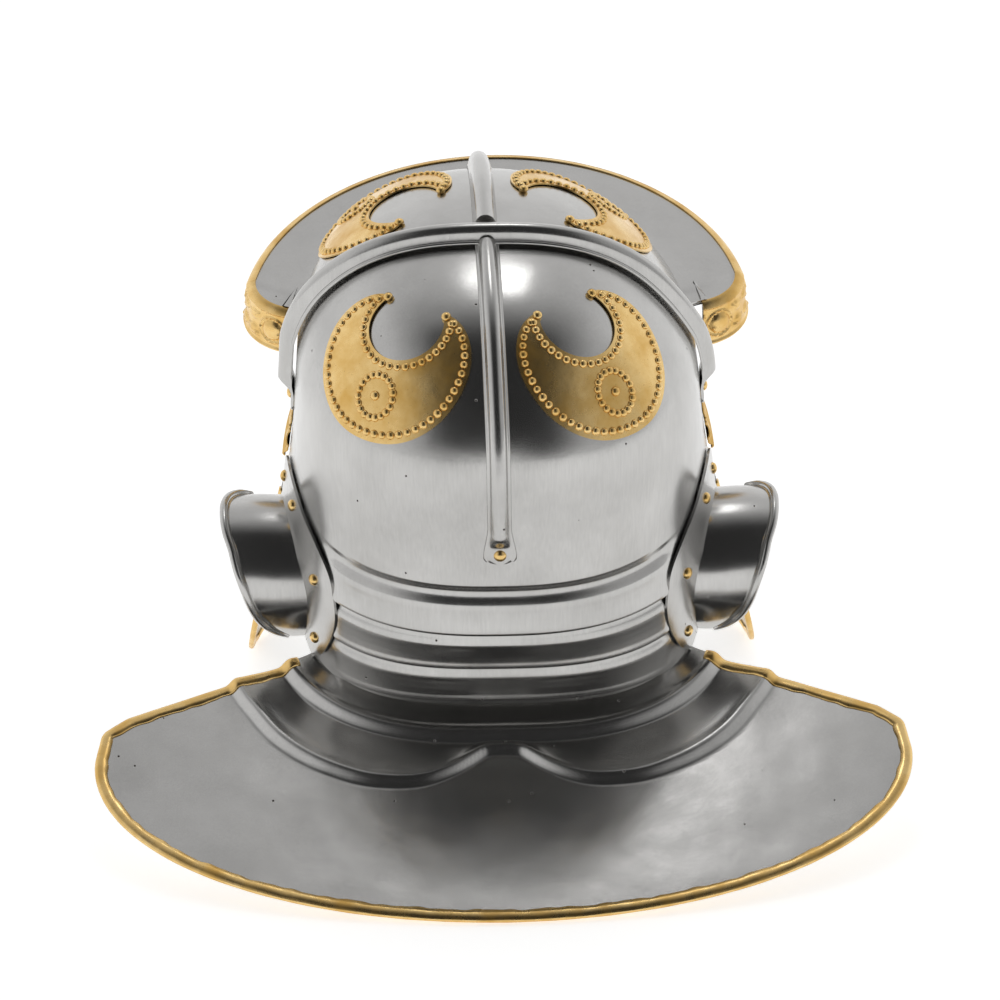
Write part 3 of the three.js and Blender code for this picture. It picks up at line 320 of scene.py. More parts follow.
@dataclass(frozen=True)
class BowlForm:
    """The bowl's outer surface, as its rings and as a field."""

    half_width: float = 105.0
    front: float = 131.0
    rear: float = 116.0
    crown: float = 140.0
    nape_depth: float = 59.0
    nape_half_width: float = 102.0
    nape_rear: float = 109.0
    dome_square: float = 2.65
    front_square_crown: float = 2.15
    rear_square_crown: float = 2.3
    side_square: float = 2.5
    nape_square: float = 3.2
    temple_tuck: float = 0.04
    tuck_reach: float = 0.6

    def section(self, z: np.ndarray) -> tuple[np.ndarray, np.ndarray, np.ndarray, np.ndarray, np.ndarray]:
        """Half width, front and rear depth, and front and rear squareness at heights."""
        z = np.asarray(z, dtype=float)
        down = np.clip(-z / self.nape_depth, 0.0, 1.3)
        rise = np.clip(z / self.crown, 0.0, 1.0)
        tuck = self.temple_tuck * np.sin(np.pi * np.clip(rise / self.tuck_reach, 0.0, 1.0))
        shrink = np.maximum(1 - rise**self.dome_square, 0.0) ** (1 / self.dome_square) * (1 - tuck)
        low = z < 0
        half = np.where(low, self.half_width + (self.nape_half_width - self.half_width) * down,
                        self.half_width * shrink)
        front = np.where(low, self.front, self.front * shrink)
        rear = np.where(low, self.rear + (self.nape_rear - self.rear) * down, self.rear * shrink)
        fore = np.where(low, self.side_square,
                        self.side_square + (self.front_square_crown - self.side_square) * rise)
        nape = self.side_square + (self.nape_square - self.side_square) * np.clip(down, 0.0, 1.0)
        back = np.where(low, nape, self.side_square + (self.rear_square_crown - self.side_square) * rise)
        return half, front, rear, fore, back

    def field(self, points: np.ndarray) -> np.ndarray:
        """Below zero inside the surface and above zero outside it."""
        half, front, rear, fore, back = self.section(points[..., 2])
        ahead = points[..., 1] > 0
        depth = np.maximum(np.where(ahead, front, rear), 1e-6)
        square = np.where(ahead, fore, back)
        wide = np.maximum(half, 1e-6)
        return (np.abs(points[..., 0]) / wide) ** square + (np.abs(points[..., 1]) / depth) ** square - 1

    def normal(self, points: np.ndarray) -> np.ndarray:
        """Outward direction of the surface at points."""
        step = 0.5
        slopes = []
        for axis in range(3):
            away = np.zeros(3)
            away[axis] = step
            slopes.append(self.field(points + away) - self.field(points - away))
        return unit(np.stack(slopes, axis=-1))

    def hit(self, start: np.ndarray, direction: np.ndarray) -> np.ndarray:
        """Points of the surface on lines from outside it.

        Args:
            start: Points outside the bowl.
            direction: One direction, or one for each point.

        Returns:
            The first point of the surface on each line.
        """
        direction = np.broadcast_to(direction, start.shape)
        near = np.zeros(start.shape[:-1])
        for _ in range(SEARCH_STEPS):
            outside = self.field(start + direction * near[..., None]) > 0
            if not outside.any():
                break
            near = np.where(outside, near + SEARCH_STEP, near)
        low, high = near - SEARCH_STEP, near
        for _ in range(SEARCH_HALVINGS):
            middle = (low + high) / 2
            outside = self.field(start + direction * middle[..., None]) > 0
            low, high = np.where(outside, middle, low), np.where(outside, high, middle)
        return start + direction * high[..., None]

    def side_point(self, side: int, y: np.ndarray, z: np.ndarray) -> np.ndarray:
        """Place on the bowl's side, by how far forward and how high it lies."""
        y, z = np.broadcast_arrays(np.asarray(y, dtype=float), np.asarray(z, dtype=float))
        half, front, rear, fore, back = self.section(z)
        ahead = y > 0
        square = np.where(ahead, fore, back)
        share = np.clip(np.abs(y) / np.where(ahead, front, rear), 0.0, 1.0)
        return np.stack([side * half * (1 - share**square) ** (1 / square), y, z], axis=-1)

    def ring(self, turn: np.ndarray, z: np.ndarray, inset: float = 0.0) -> np.ndarray:
        """Place on the bowl by turn, from the right over the front, and height."""
        turn, z = np.broadcast_arrays(np.asarray(turn, dtype=float), np.asarray(z, dtype=float))
        half, front, rear, fore, back = self.section(z)
        c, d = np.cos(turn), np.sin(turn)
        ahead = d > 0
        square = np.where(ahead, fore, back)
        half = np.maximum(half - inset, 0.5)
        depth = np.maximum(np.where(ahead, front, rear) - inset, 0.5)
        x = half * np.sign(c) * np.abs(c) ** (2 / square)
        y = depth * np.sign(d) * np.abs(d) ** (2 / square)
        return np.stack([x, y, z], axis=-1)


BOWL = BowlForm()
SEAT = 0.35


@dataclass(frozen=True)
class RidgeForm:
    """Ridges pressed into the nape: each swells downwards to a sharp lip."""

    top: float = 20.0
    pitch: float = 24.0
    count: int = 3
    relief: float = 2.4
    half_run: float = 79.0
    fade: float = 5.0
    profile: tuple[tuple[float, float], ...] = (
        (-0.12, 0.0), (-0.04, -0.34), (0.02, -0.55), (0.1, -0.55), (0.17, -0.3), (0.24, 0.12), (0.31, 0.42),
        (0.38, 0.52), (0.5, 0.5), (0.66, 0.56), (0.8, 0.74), (0.88, 0.98), (0.93, 1.08), (0.965, 1.0),
        (0.985, 0.5),
        (1.0, -0.25), (1.02, -0.55),
    )

    def height(self, points: np.ndarray) -> np.ndarray:
        """Relief of the ridges at points of the plain bowl, in millimetres."""
        run = (self.top - points[..., 2]) / self.pitch
        keys = [k for k, _ in self.profile]
        values = [v for _, v in self.profile]
        ridge = np.clip(np.floor(run), 0, self.count - 1)
        share = np.where(run < 0, run, run - ridge)
        relief = np.interp(share, keys, values, left=0.0, right=-0.55)
        side = 1 - smooth(np.abs(points[..., 0]), self.half_run - self.fade / 2, self.half_run + self.fade)
        return np.where(points[..., 1] < 0, relief * self.relief * side, 0.0)


RIDGES = RidgeForm()


def seam_height(y: np.ndarray) -> np.ndarray:
    """Height of the seam between the nape and the neck guard."""
    return -BOWL.nape_depth + math.tan(math.radians(6.0)) * (np.asarray(y, dtype=float) + BOWL.nape_rear)


# ---- Finishes ----


def linear(colour: str) -> tuple[float, float, float, float]:
    """An sRGB hex colour as linear red, green, blue and alpha."""
    parts = [int(colour[i:i + 2], 16) / 255 for i in (1, 3, 5)]
    return tuple(c / 12.92 if c <= 0.04045 else ((c + 0.055) / 1.055) ** 2.4 for c in parts) + (1.0,)


def add(tree: bpy.types.NodeTree, kind: str, settings: Optional[dict] = None,
        **links: object) -> bpy.types.Node:
    """Adds a node with its settings and links.

    Args:
        tree: Tree that takes the node.
        kind: The node's type.
        settings: Properties of the node, by name.
        links: Inputs by name, with underscores for blanks; i0, i1 and so on name them by
            place. An output socket is linked, and anything else is set as a value.

    Returns:
        The new node.
    """
    node = tree.nodes.new(kind)
    for key, value in (settings or {}).items():
        setattr(node, key, value)
    for key, value in links.items():
        by_place = key[0] == "i" and key[1:].isdigit()
        socket = node.inputs[int(key[1:])] if by_place else node.inputs[key.replace("_", " ")]
        if isinstance(value, bpy.types.NodeSocket):
            tree.links.new(value, socket)
        else:
            socket.default_value = value
    return node


def ramp(tree: bpy.types.NodeTree, source: bpy.types.NodeSocket,
         stops: Sequence[tuple[float, float]]) -> bpy.types.NodeSocket:
    """A value remapped through grey stops."""
    node = add(tree, "ShaderNodeValToRGB", i0=source)
    band = node.color_ramp
    while len(band.elements) < len(stops):
        band.elements.new(0.5)
    for element, (place, level) in zip(band.elements, stops):
        element.position = place
        element.color = (level, level, level, 1.0)
    return node.outputs[0]


def noise(tree: bpy.types.NodeTree, place: bpy.types.NodeSocket, size_mm: float, detail: float,
          roughness: float) -> bpy.types.NodeSocket:
    """Noise whose clouds are about a given size."""
    return add(tree, "ShaderNodeTexNoise", Vector=place, Scale=1 / METRE / size_mm, Detail=detail,
               Roughness=roughness).outputs[0]


def relief_node(tree: bpy.types.NodeTree, height: bpy.types.NodeSocket, strength: float, depth_mm: float,
                **links: bpy.types.NodeSocket) -> bpy.types.NodeSocket:
    """Shading relief of a given depth, over an earlier one where it is given as Normal."""
    return add(tree, "ShaderNodeBump", Height=height, Strength=strength, Distance=depth_mm * METRE,
               **links).outputs[0]


def blend_colours(tree: bpy.types.NodeTree, share: bpy.types.NodeSocket, one: object,
                  other: object) -> bpy.types.NodeSocket:
    """Two colours blended by a share; each is a hex colour or a socket."""
    node = add(tree, "ShaderNodeMix", {"data_type": "RGBA"}, Factor=share)
    for socket, colour in (("A", one), ("B", other)):
        if isinstance(colour, str):
            node.inputs[socket].default_value = linear(colour)
        else:
            tree.links.new(colour, node.inputs[socket])
    return node.outputs["Result"]


class Finish:
    """A material that starts from Object coordinates and ends in one shader."""

    name = "finish"

    def material(self) -> bpy.types.Material:
        """The finish as a material, made once."""
        found = bpy.data.materials.get(self.name)
        if found:
            return found
        made = bpy.data.materials.new(self.name)
        made.use_nodes = True
        tree = made.node_tree
        tree.nodes.clear()
        output = add(tree, "ShaderNodeOutputMaterial")
        place = add(tree, "ShaderNodeTexCoord").outputs["Object"]
        shader = add(tree, "ShaderNodeBsdfPrincipled", Metallic=1.0)
        self.dress(tree, place, shader)
        tree.links.new(shader.outputs[0], output.inputs["Surface"])
        return made

    def dress(self, tree: bpy.types.NodeTree, place: bpy.types.NodeSocket, shader: bpy.types.Node) -> None:
        """Adds the finish's own nodes."""
        raise NotImplementedError


@dataclass(frozen=True)
class BuffedSteel(Finish):
    """Mild steel sheet, hammered, planished and buffed: a grey mirror with soft streaks.

    Buffing leaves streaks about a millimetre apart, a few deeper scratches and small
    rust pits, which break the reflections up.
    """

    name: str = "buffed mild steel"
    bright: str = "#C6C5C3"
    dull: str = "#B2B1AF"
    pit: str = "#4A4540"
    smoothest: float = 0.18
    roughest: float = 0.27
    streak_mm: float = 0.8
    dent_mm: float = 26.0
    pit_mm: float = 11.0

    def dress(self, tree: bpy.types.NodeTree, place: bpy.types.NodeSocket, shader: bpy.types.Node) -> None:
        """Streaks, clouds, dents and pits."""
        stretched = add(tree, "ShaderNodeMapping", Vector=place, Scale=(1.0, 1.0, 0.06)).outputs[0]
        streaks = noise(tree, stretched, self.streak_mm, 3.0, 0.6)
        clouds = noise(tree, place, 42.0, 4.0, 0.62)
        mottle = noise(tree, place, 5.0, 3.0, 0.6)
        pits = add(tree, "ShaderNodeTexVoronoi", {"feature": "F1"}, Vector=place,
                   Scale=1 / METRE / self.pit_mm)
        speck = ramp(tree, pits.outputs["Distance"], [(0.0, 1.0), (0.035, 1.0), (0.06, 0.0)])
        dice = add(tree, "ShaderNodeSeparateColor", Color=pits.outputs["Color"]).outputs[0]
        rare = ramp(tree, dice, [(0.0, 1.0), (0.3, 1.0), (0.33, 0.0)])
        pitted = add(tree, "ShaderNodeMath", {"operation": "MULTIPLY"}, i0=speck, i1=rare).outputs[0]
        sheen = add(tree, "ShaderNodeMath", {"operation": "MULTIPLY_ADD"}, i0=streaks, i1=0.25,
                    i2=0.1).outputs[0]
        sheen = add(tree, "ShaderNodeMath", {"operation": "MULTIPLY_ADD"}, i0=clouds, i1=0.55,
                    i2=sheen).outputs[0]
        level = ramp(tree, sheen, [(0.34, 0.0), (0.66, 1.0)])
        colour = blend_colours(tree, pitted, blend_colours(tree, level, self.bright, self.dull), self.pit)
        tree.links.new(colour, shader.inputs["Base Color"])
        rough = add(tree, "ShaderNodeMapRange", Value=level, To_Min=self.smoothest,
                    To_Max=self.roughest).outputs[0]
        rougher = add(tree, "ShaderNodeMath", {"operation": "MULTIPLY_ADD"}, i0=pitted, i1=0.35,
                      i2=rough).outputs[0]
        tree.links.new(rougher, shader.inputs["Roughness"])
        low = relief_node(tree, noise(tree, place, self.dent_mm, 1.0, 0.4), 1.0, 0.4)
        mid = relief_node(tree, mottle, 0.5, 0.05, Normal=low)
        fine = relief_node(tree, streaks, 0.5, 0.007, Normal=mid)
        sunk = add(tree, "ShaderNodeBump", {"invert": True}, Height=pitted, Strength=0.8,
                   Distance=0.2 * METRE,
                   Normal=fine).outputs[0]
        tree.links.new(sunk, shader.inputs["Normal"])


@dataclass(frozen=True)
class DarkSteel(BuffedSteel):
    """The same steel left off the buffing wheel: duller and darker, with a brown cast."""

    name: str = "dull mild steel"
    bright: str = "#8B8987"
    dull: str = "#6A6765"
    smoothest: float = 0.32
    roughest: float = 0.5


@dataclass(frozen=True)
class SheetBrass(Finish):
    """Thin brass sheet, pressed over a former and polished: warm yellow with amber hollows.

    Polish wears the high places bright, and leaves dark tarnish specks about half a
    millimetre across and soft hammer marks.
    """

    name: str = "polished sheet brass"
    bright: str = "#ECCB8C"
    deep: str = "#D8AE62"
    tarnish: str = "#5C3F1C"
    smoothest: float = 0.22
    roughest: float = 0.36
    mark_mm: float = 9.0

    def dress(self, tree: bpy.types.NodeTree, place: bpy.types.NodeSocket, shader: bpy.types.Node) -> None:
        """Clouds of colour, tarnish specks and hammer marks."""
        clouds = noise(tree, place, 16.0, 4.0, 0.6)
        marks = noise(tree, place, self.mark_mm, 2.0, 0.5)
        grain = noise(tree, place, 0.8, 2.0, 0.6)
        specks = ramp(tree, grain, [(0.68, 0.0), (0.76, 0.7)])
        level = ramp(tree, clouds, [(0.36, 0.0), (0.68, 1.0)])
        colour = blend_colours(tree, specks, blend_colours(tree, level, self.bright, self.deep),
                               self.tarnish)
        tree.links.new(colour, shader.inputs["Base Color"])
        rough = add(tree, "ShaderNodeMapRange", Value=level, To_Min=self.smoothest,
                    To_Max=self.roughest).outputs[0]
        tree.links.new(rough, shader.inputs["Roughness"])
        low = relief_node(tree, marks, 0.8, 0.2)
        fine = relief_node(tree, grain, 0.4, 0.03, Normal=low)
        tree.links.new(fine, shader.inputs["Normal"])


STEEL = BuffedSteel()
DARK = DarkSteel()
BRASS = SheetBrass()


def finish_piece(made: bpy.types.Object, finish: Finish, body: str, *nodes: str) -> bpy.types.Object:
    """Gives a piece its finish and its body, and hides the solids that it stands for.

    Args:
        made: The piece.
        finish: Its finish.
        body: Body that it rides on.
        nodes: Names of the solids that it replaces.

    Returns:
        The same piece.
    """
    made.data.materials.clear()
    made.data.materials.append(finish.material())
    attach(made, body)
    if nodes:
        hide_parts(*nodes)
    log.info("%s: %d points, on %s", made.name, len(made.data.vertices), body)
    return made


# ---- Domes set by Geometry Nodes ----


class DomeRows:
    """Rivet heads and punched beads, set on points by one Geometry Nodes tree."""

    def __init__(self) -> None:
        """Builds the tree and keeps its inputs."""
        tree = bpy.data.node_groups.new("Domes on points", "GeometryNodeTree")
        face = tree.interface
        face.new_socket("Geometry", in_out="INPUT", socket_type="NodeSocketGeometry")
        self.sockets = {}
        for label, kind in (("Radius", "Float"), ("Height", "Float"), ("Sides", "Int"), ("Rings", "Int"),
                            ("Variation", "Float"), ("Seed", "Int"), ("Finish", "Material")):
            socket = face.new_socket(label, in_out="INPUT", socket_type="NodeSocket" + kind)
            self.sockets[label] = socket.identifier
        face.new_socket("Geometry", in_out="OUTPUT", socket_type="NodeSocketGeometry")
        given = tree.nodes.new("NodeGroupInput").outputs
        result = tree.nodes.new("NodeGroupOutput")
        dome = add(tree, "GeometryNodeMeshUVSphere", Segments=given["Sides"], Rings=given["Rings"],
                   Radius=1.0)
        way = add(tree, "GeometryNodeInputNamedAttribute", {"data_type": "FLOAT_VECTOR"}, Name="out")
        turned = add(tree, "FunctionNodeAlignRotationToVector", {"axis": "Z"}, Vector=way.outputs[0])
        low = add(tree, "ShaderNodeMath", {"operation": "SUBTRACT"}, i0=1.0, i1=given["Variation"])
        high = add(tree, "ShaderNodeMath", {"operation": "ADD"}, i0=1.0, i1=given["Variation"])
        dice = add(tree, "FunctionNodeRandomValue", {"data_type": "FLOAT"})
        tree.links.new(low.outputs[0], dice.inputs[2])
        tree.links.new(high.outputs[0], dice.inputs[3])
        tree.links.new(given["Seed"], dice.inputs["Seed"])
        flat = add(tree, "ShaderNodeCombineXYZ", X=given["Radius"], Y=given["Radius"], Z=given["Height"])
        size = add(tree, "ShaderNodeVectorMath", {"operation": "SCALE"}, i0=flat.outputs[0],
                   Scale=dice.outputs[1])
        set_on = add(tree, "GeometryNodeInstanceOnPoints", Points=given["Geometry"],
                     Instance=dome.outputs[0],
                     Rotation=turned.outputs[0], Scale=size.outputs[0])
        real = add(tree, "GeometryNodeRealizeInstances", Geometry=set_on.outputs[0])
        shaded = add(tree, "GeometryNodeSetShadeSmooth", Geometry=real.outputs[0])
        painted = add(tree, "GeometryNodeSetMaterial", Geometry=shaded.outputs[0], Material=given["Finish"])
        tree.links.new(painted.outputs[0], result.inputs[0])
        self.tree = tree

    def make(self, name: str, spots: np.ndarray, ways: np.ndarray, radius: float, height: float,
             finish: Finish,
             sides: int = 12, rings: int = 8, variation: float = 0.0) -> bpy.types.Object:
        """Domes on level points.

        Args:
            name: Name of the piece.
            spots: Level points, in millimetres.
            ways: Outward direction at each point.
            radius: Radius of a dome, in millimetres.
            height: How far it stands out, in millimetres.
            finish: Its finish.
            sides: Sides of a dome.
            rings: Rings of the ball that it is half of.
            variation: How much the sizes differ, as a share.

        Returns:
            One plain mesh of all the domes.
        """
        points = add_object(name + "_points", STAND.place(np.asarray(spots, dtype=float)), [])
        layer = points.data.attributes.new("out", "FLOAT_VECTOR", "POINT")
        layer.data.foreach_set("vector",
                               STAND.aim(unit(np.asarray(ways, dtype=float))).astype(np.float32).ravel())
        step = points.modifiers.new("Domes", "NODES")
        step.node_group = self.tree
        values = {"Radius": radius * METRE, "Height": height * METRE, "Sides": sides, "Rings": rings,
                  "Variation": variation, "Seed": 7, "Finish": finish.material()}
        for label, value in values.items():
            step[self.sockets[label]] = value
        solid = bpy.data.meshes.new_from_object(points.evaluated_get(bpy.context.evaluated_depsgraph_get()))
        solid.name = name
        points.modifiers.remove(step)
        made = bpy.data.objects.new(name, solid)
        bpy.context.scene.collection.objects.link(made)
        bpy.data.objects.remove(points)
        return made


DOMES = DomeRows()


@dataclass(frozen=True)
class Rivet:
    """A rivet's head: its radius and how far it stands out."""

    radius: float = 3.0
    height: float = 1.9

    def set(self, name: str, spot: np.ndarray, way: np.ndarray, body: str, finish: Finish = BRASS) -> None:
        """Sets a rivet's head on a spot, in place of the solid of the same name."""
        made = DOMES.make(name + "_head", spot[None], way[None], self.radius, self.height, finish,
                          sides=20, rings=12)
        finish_piece(made, finish, body, name)


# ---- Bowl ----


@dataclass
class Bowl:
    """The skull: a raised bowl with ridges pressed into its nape."""

    wall: float = 1.5
    sides: int = 176
    ear_y: float = -40.0
    ear_z: float = -25.0
    ear_radius: float = 33.0
    root_y: float = -74.0
    skirt: float = 8.0

    def levels(self) -> np.ndarray:
        """Heights of the rings, closest together over the ridges, for both skins."""
        turns = np.linspace(0.06, math.pi / 2, 44) ** 1.05
        upright = np.maximum(np.cos(turns * (math.pi / 2) / turns[-1]), 0.0)
        dome = BOWL.crown * upright ** (2 / BOWL.dome_square)
        dome = dome[dome > RIDGES.top + 4]
        low = -BOWL.nape_depth - self.skirt
        nape = np.linspace(RIDGES.top + 4, low, 120)
        return np.concatenate([dome, nape])

    def shell(self, name: str, inset: float) -> bpy.types.Object:
        """The closed outer or inner skin of the bowl."""
        sides = self.sides
        turns = np.linspace(0, 2 * math.pi, sides, endpoint=False)
        levels = self.levels()
        grid = BOWL.ring(turns[None], levels[:, None])
        ways = BOWL.normal(grid)
        grid = grid + ways * (RIDGES.height(grid) - inset)[..., None]
        rows = len(levels)
        points = np.concatenate([grid.reshape(-1, 3), [[0, 0, BOWL.crown - inset], [0, 0, levels[-1]]]])
        faces = grid_faces(rows, sides, around=True)
        faces = faces_towards(points, faces, points - np.array([0, 0, 20.0]))
        along = bool(faces[0][1] - faces[0][0] >= sides)
        caps = []
        top, low = rows * sides, rows * sides + 1
        for j in range(sides):
            k = (j + 1) % sides
            a, b = (k, j) if along else (j, k)
            caps.append((top, b, a) if along else (top, a, b))
            caps.append((low, (rows - 1) * sides + a, (rows - 1) * sides + b))
        made = add_object(name, STAND.place(points), list(map(tuple, faces.tolist())) + caps)
        return outward_faces(made)

    def rim_cutter(self) -> bpy.types.Object:
        """What is cut away below the brow rim, round the ears and under the nape."""
        turns = np.radians(np.linspace(42, 220, 50))
        grow = 1 + 0.05 * smooth(np.degrees(turns), 195, 220)
        y = self.ear_y + self.ear_radius * grow * np.cos(turns)
        z = self.ear_z + self.ear_radius * grow * np.sin(turns)
        keep = (z > 0) | (y < self.ear_y)
        far, behind, low = BOWL.front + 60, -BOWL.rear - 60, -BOWL.nape_depth - 60
        outline = [(far, 0.0), (float(y[keep][0]) + 1.0, 0.0)]
        outline += list(zip(y[keep], z[keep]))
        outline += [(self.root_y + 2, float(seam_height(self.root_y)))]
        outline += [(behind, float(seam_height(behind))), (behind, low), (far, low)]
        reach = BOWL.half_width + 40
        flat = np.array([(side * reach, a, b) for side in (1, -1) for a, b in outline])
        count = len(outline)
        faces = [tuple(range(count)), tuple(range(2 * count - 1, count - 1, -1))]
        faces += [(i, count + i, count + (i + 1) % count, (i + 1) % count) for i in range(count)]
        return outward_faces(add_object("rim_cutter", STAND.place(flat), faces))

    def build(self) -> None:
        """Builds the bowl and cuts its rim."""
        made = self.shell("skull_bowl", 0.0)
        tools = [self.shell("bowl_hollow", self.wall), self.rim_cutter()]
        for tool in tools:
            cut = made.modifiers.new("Cut", "BOOLEAN")
            cut.operation = "DIFFERENCE"
            cut.solver = "EXACT"
            cut.object = tool
        mesh = bpy.data.meshes.new_from_object(made.evaluated_get(bpy.context.evaluated_depsgraph_get()))
        made.modifiers.clear()
        made.data = mesh
        mesh.name = "skull_bowl"
        for tool in tools:
            bpy.data.objects.remove(tool)
        mesh.shade_smooth()
        mesh.set_sharp_from_angle(angle=math.radians(40))
        finish_piece(made, STEEL, HELMET, "bowl")


# ---- Skull bars ----


@dataclass
class Bars:
    """The bars over the skull: flat feet each side of a rounded rib, and their rivets."""

    width: float = 11.0
    height: float = 5.0
    front_height: float = 8.5
    flange: float = 1.3
    cross_width: float = 13.5
    cross_gap: float = 1.3
    cross_foot: float = 44.0
    front_foot: float = 72.0
    rear_foot: float = 36.0
    cross_height: float = 7.0
    foot_flare: float = 1.42
    foot_flat: float = 9.0

    def section(self, width: float, height: float, rib: float) -> np.ndarray:
        """Section of a bar, from its left foot over the rib to its right foot."""
        half = width / 2
        turns = np.linspace(math.pi, 0, 17)
        arch = np.stack([rib * np.cos(turns),
                         self.flange + (height - self.flange) * np.sin(turns) ** 0.8], -1)
        left = [(-half, 0.0), (-half, self.flange * 0.6), (-half + 0.4, self.flange),
                (-rib - 0.7, self.flange)]
        right = [(-u, v) for u, v in reversed(left)]
        return np.array(left + arch[1:-1].tolist() + right)

    def build_one(self, name: str, node: str, path: np.ndarray, side: np.ndarray, width: float,
                  height: float,
                  rib: float, flats: Sequence[float], gap: float = 0.0) -> tuple[np.ndarray, np.ndarray]:
        """Builds a bar along a path on the bowl.

        Args:
            name: Name of the piece.
            node: Solid that it replaces.
            path: Level points on the bowl, in order.
            side: Direction across the bar.
            width: Width of the bar.
            height: Height of its rib.
            rib: Half width of its rib.
            flats: Ends that are flattened and rounded for a rivet: 0 for the first, 1 for the last.
            gap: How far the bar bridges over the bowl between its ends.

        Returns:
            The bar's path and its outward directions.
        """
        path = resample(path, 1.2)
        along = unit(np.gradient(path, axis=0))
        out = unit(np.cross(np.broadcast_to(side, along.shape), along))
        out = np.where(np.sum(out * (path - np.array([0, 0, 10.0])), axis=1)[:, None] < 0, -out, out)
        run = np.concatenate([[0.0], np.cumsum(np.linalg.norm(np.diff(path, axis=0), axis=1))])
        press = np.zeros(len(path))
        shape = np.ones(len(path))
        for end in flats:
            away = run if end == 0 else run[-1] - run
            press = np.maximum(press, 1 - smooth(away, self.foot_flat * 0.95, self.foot_flat * 1.8))
            narrowed = smooth(away, self.foot_flat * 0.2, self.foot_flat * 2.2)
            flare = 1 + (self.foot_flare - 1) * (1 - narrowed)
            corner = np.clip(away / (width * 0.36), 0, 1)
            shape = shape * flare * np.maximum((1 - (1 - corner) ** 3) ** (1 / 3), 0.4)
        full = self.section(width, height, rib)
        low = self.section(width, self.flange * 1.3, rib)
        sections = full[None] * (1 - press[:, None, None]) + low[None] * press[:, None, None]
        sections[..., 0] *= shape[:, None]
        lifted = path + out * (SEAT * 0.5 + gap * (1 - press))[:, None]
        made = sweep(name, sections, lifted, np.broadcast_to(side, out.shape), out)
        soften(made, 0.25, 55)
        finish_piece(made, STEEL, HELMET, node)
        return path, out

    def build(self) -> None:
        """Builds the three bars and sets their rivets."""
        z = BOWL.crown * np.cos(np.linspace(0.0001, math.pi / 2, 400)) ** (2 / BOWL.dome_square)
        z = np.concatenate([[BOWL.crown], z[z < BOWL.crown - 0.02]])
        half, front, rear, _, _ = BOWL.section(z)
        keep = z >= self.cross_foot
        right = np.stack([half, 0 * z, z], -1)[keep]
        cross = np.concatenate([right[::-1] * [-1, 1, 1], right[1:]])
        spots = {}
        path, out = self.build_one("cross_bar_rib", "cross_bar", cross, np.array([0, 1.0, 0]),
                                   self.cross_width,
                                   self.cross_height, 4.3, (0, 1), self.cross_gap)
        spots["cross_bar_rivet_left"] = (path[5], out[5])
        spots["cross_bar_rivet_right"] = (path[-6], out[-6])
        start = self.cross_width / 2 - 1.0
        for word, depth, foot, height, rib, sign in (
                ("front", front, self.front_foot, self.front_height, 5.0, 1),
                ("rear", rear, self.rear_foot, self.height, 3.9, -1)):
            line = np.stack([0 * z, sign * depth, z], -1)[(depth > start) & (z >= foot)]
            flats = (1,)
            path, out = self.build_one(f"{word}_bar_rib", f"{word}_bar", line, np.array([1.0, 0, 0]),
                                       self.width,
                                       height, rib, flats)
            spots[f"{word}_bar_rivet"] = (path[-5], out[-5])
        for name, (spot, way) in spots.items():
            Rivet(3.0, 2.2).set(name, spot + way * (SEAT + self.flange), way, HELMET)


# ---- Brow peak ----


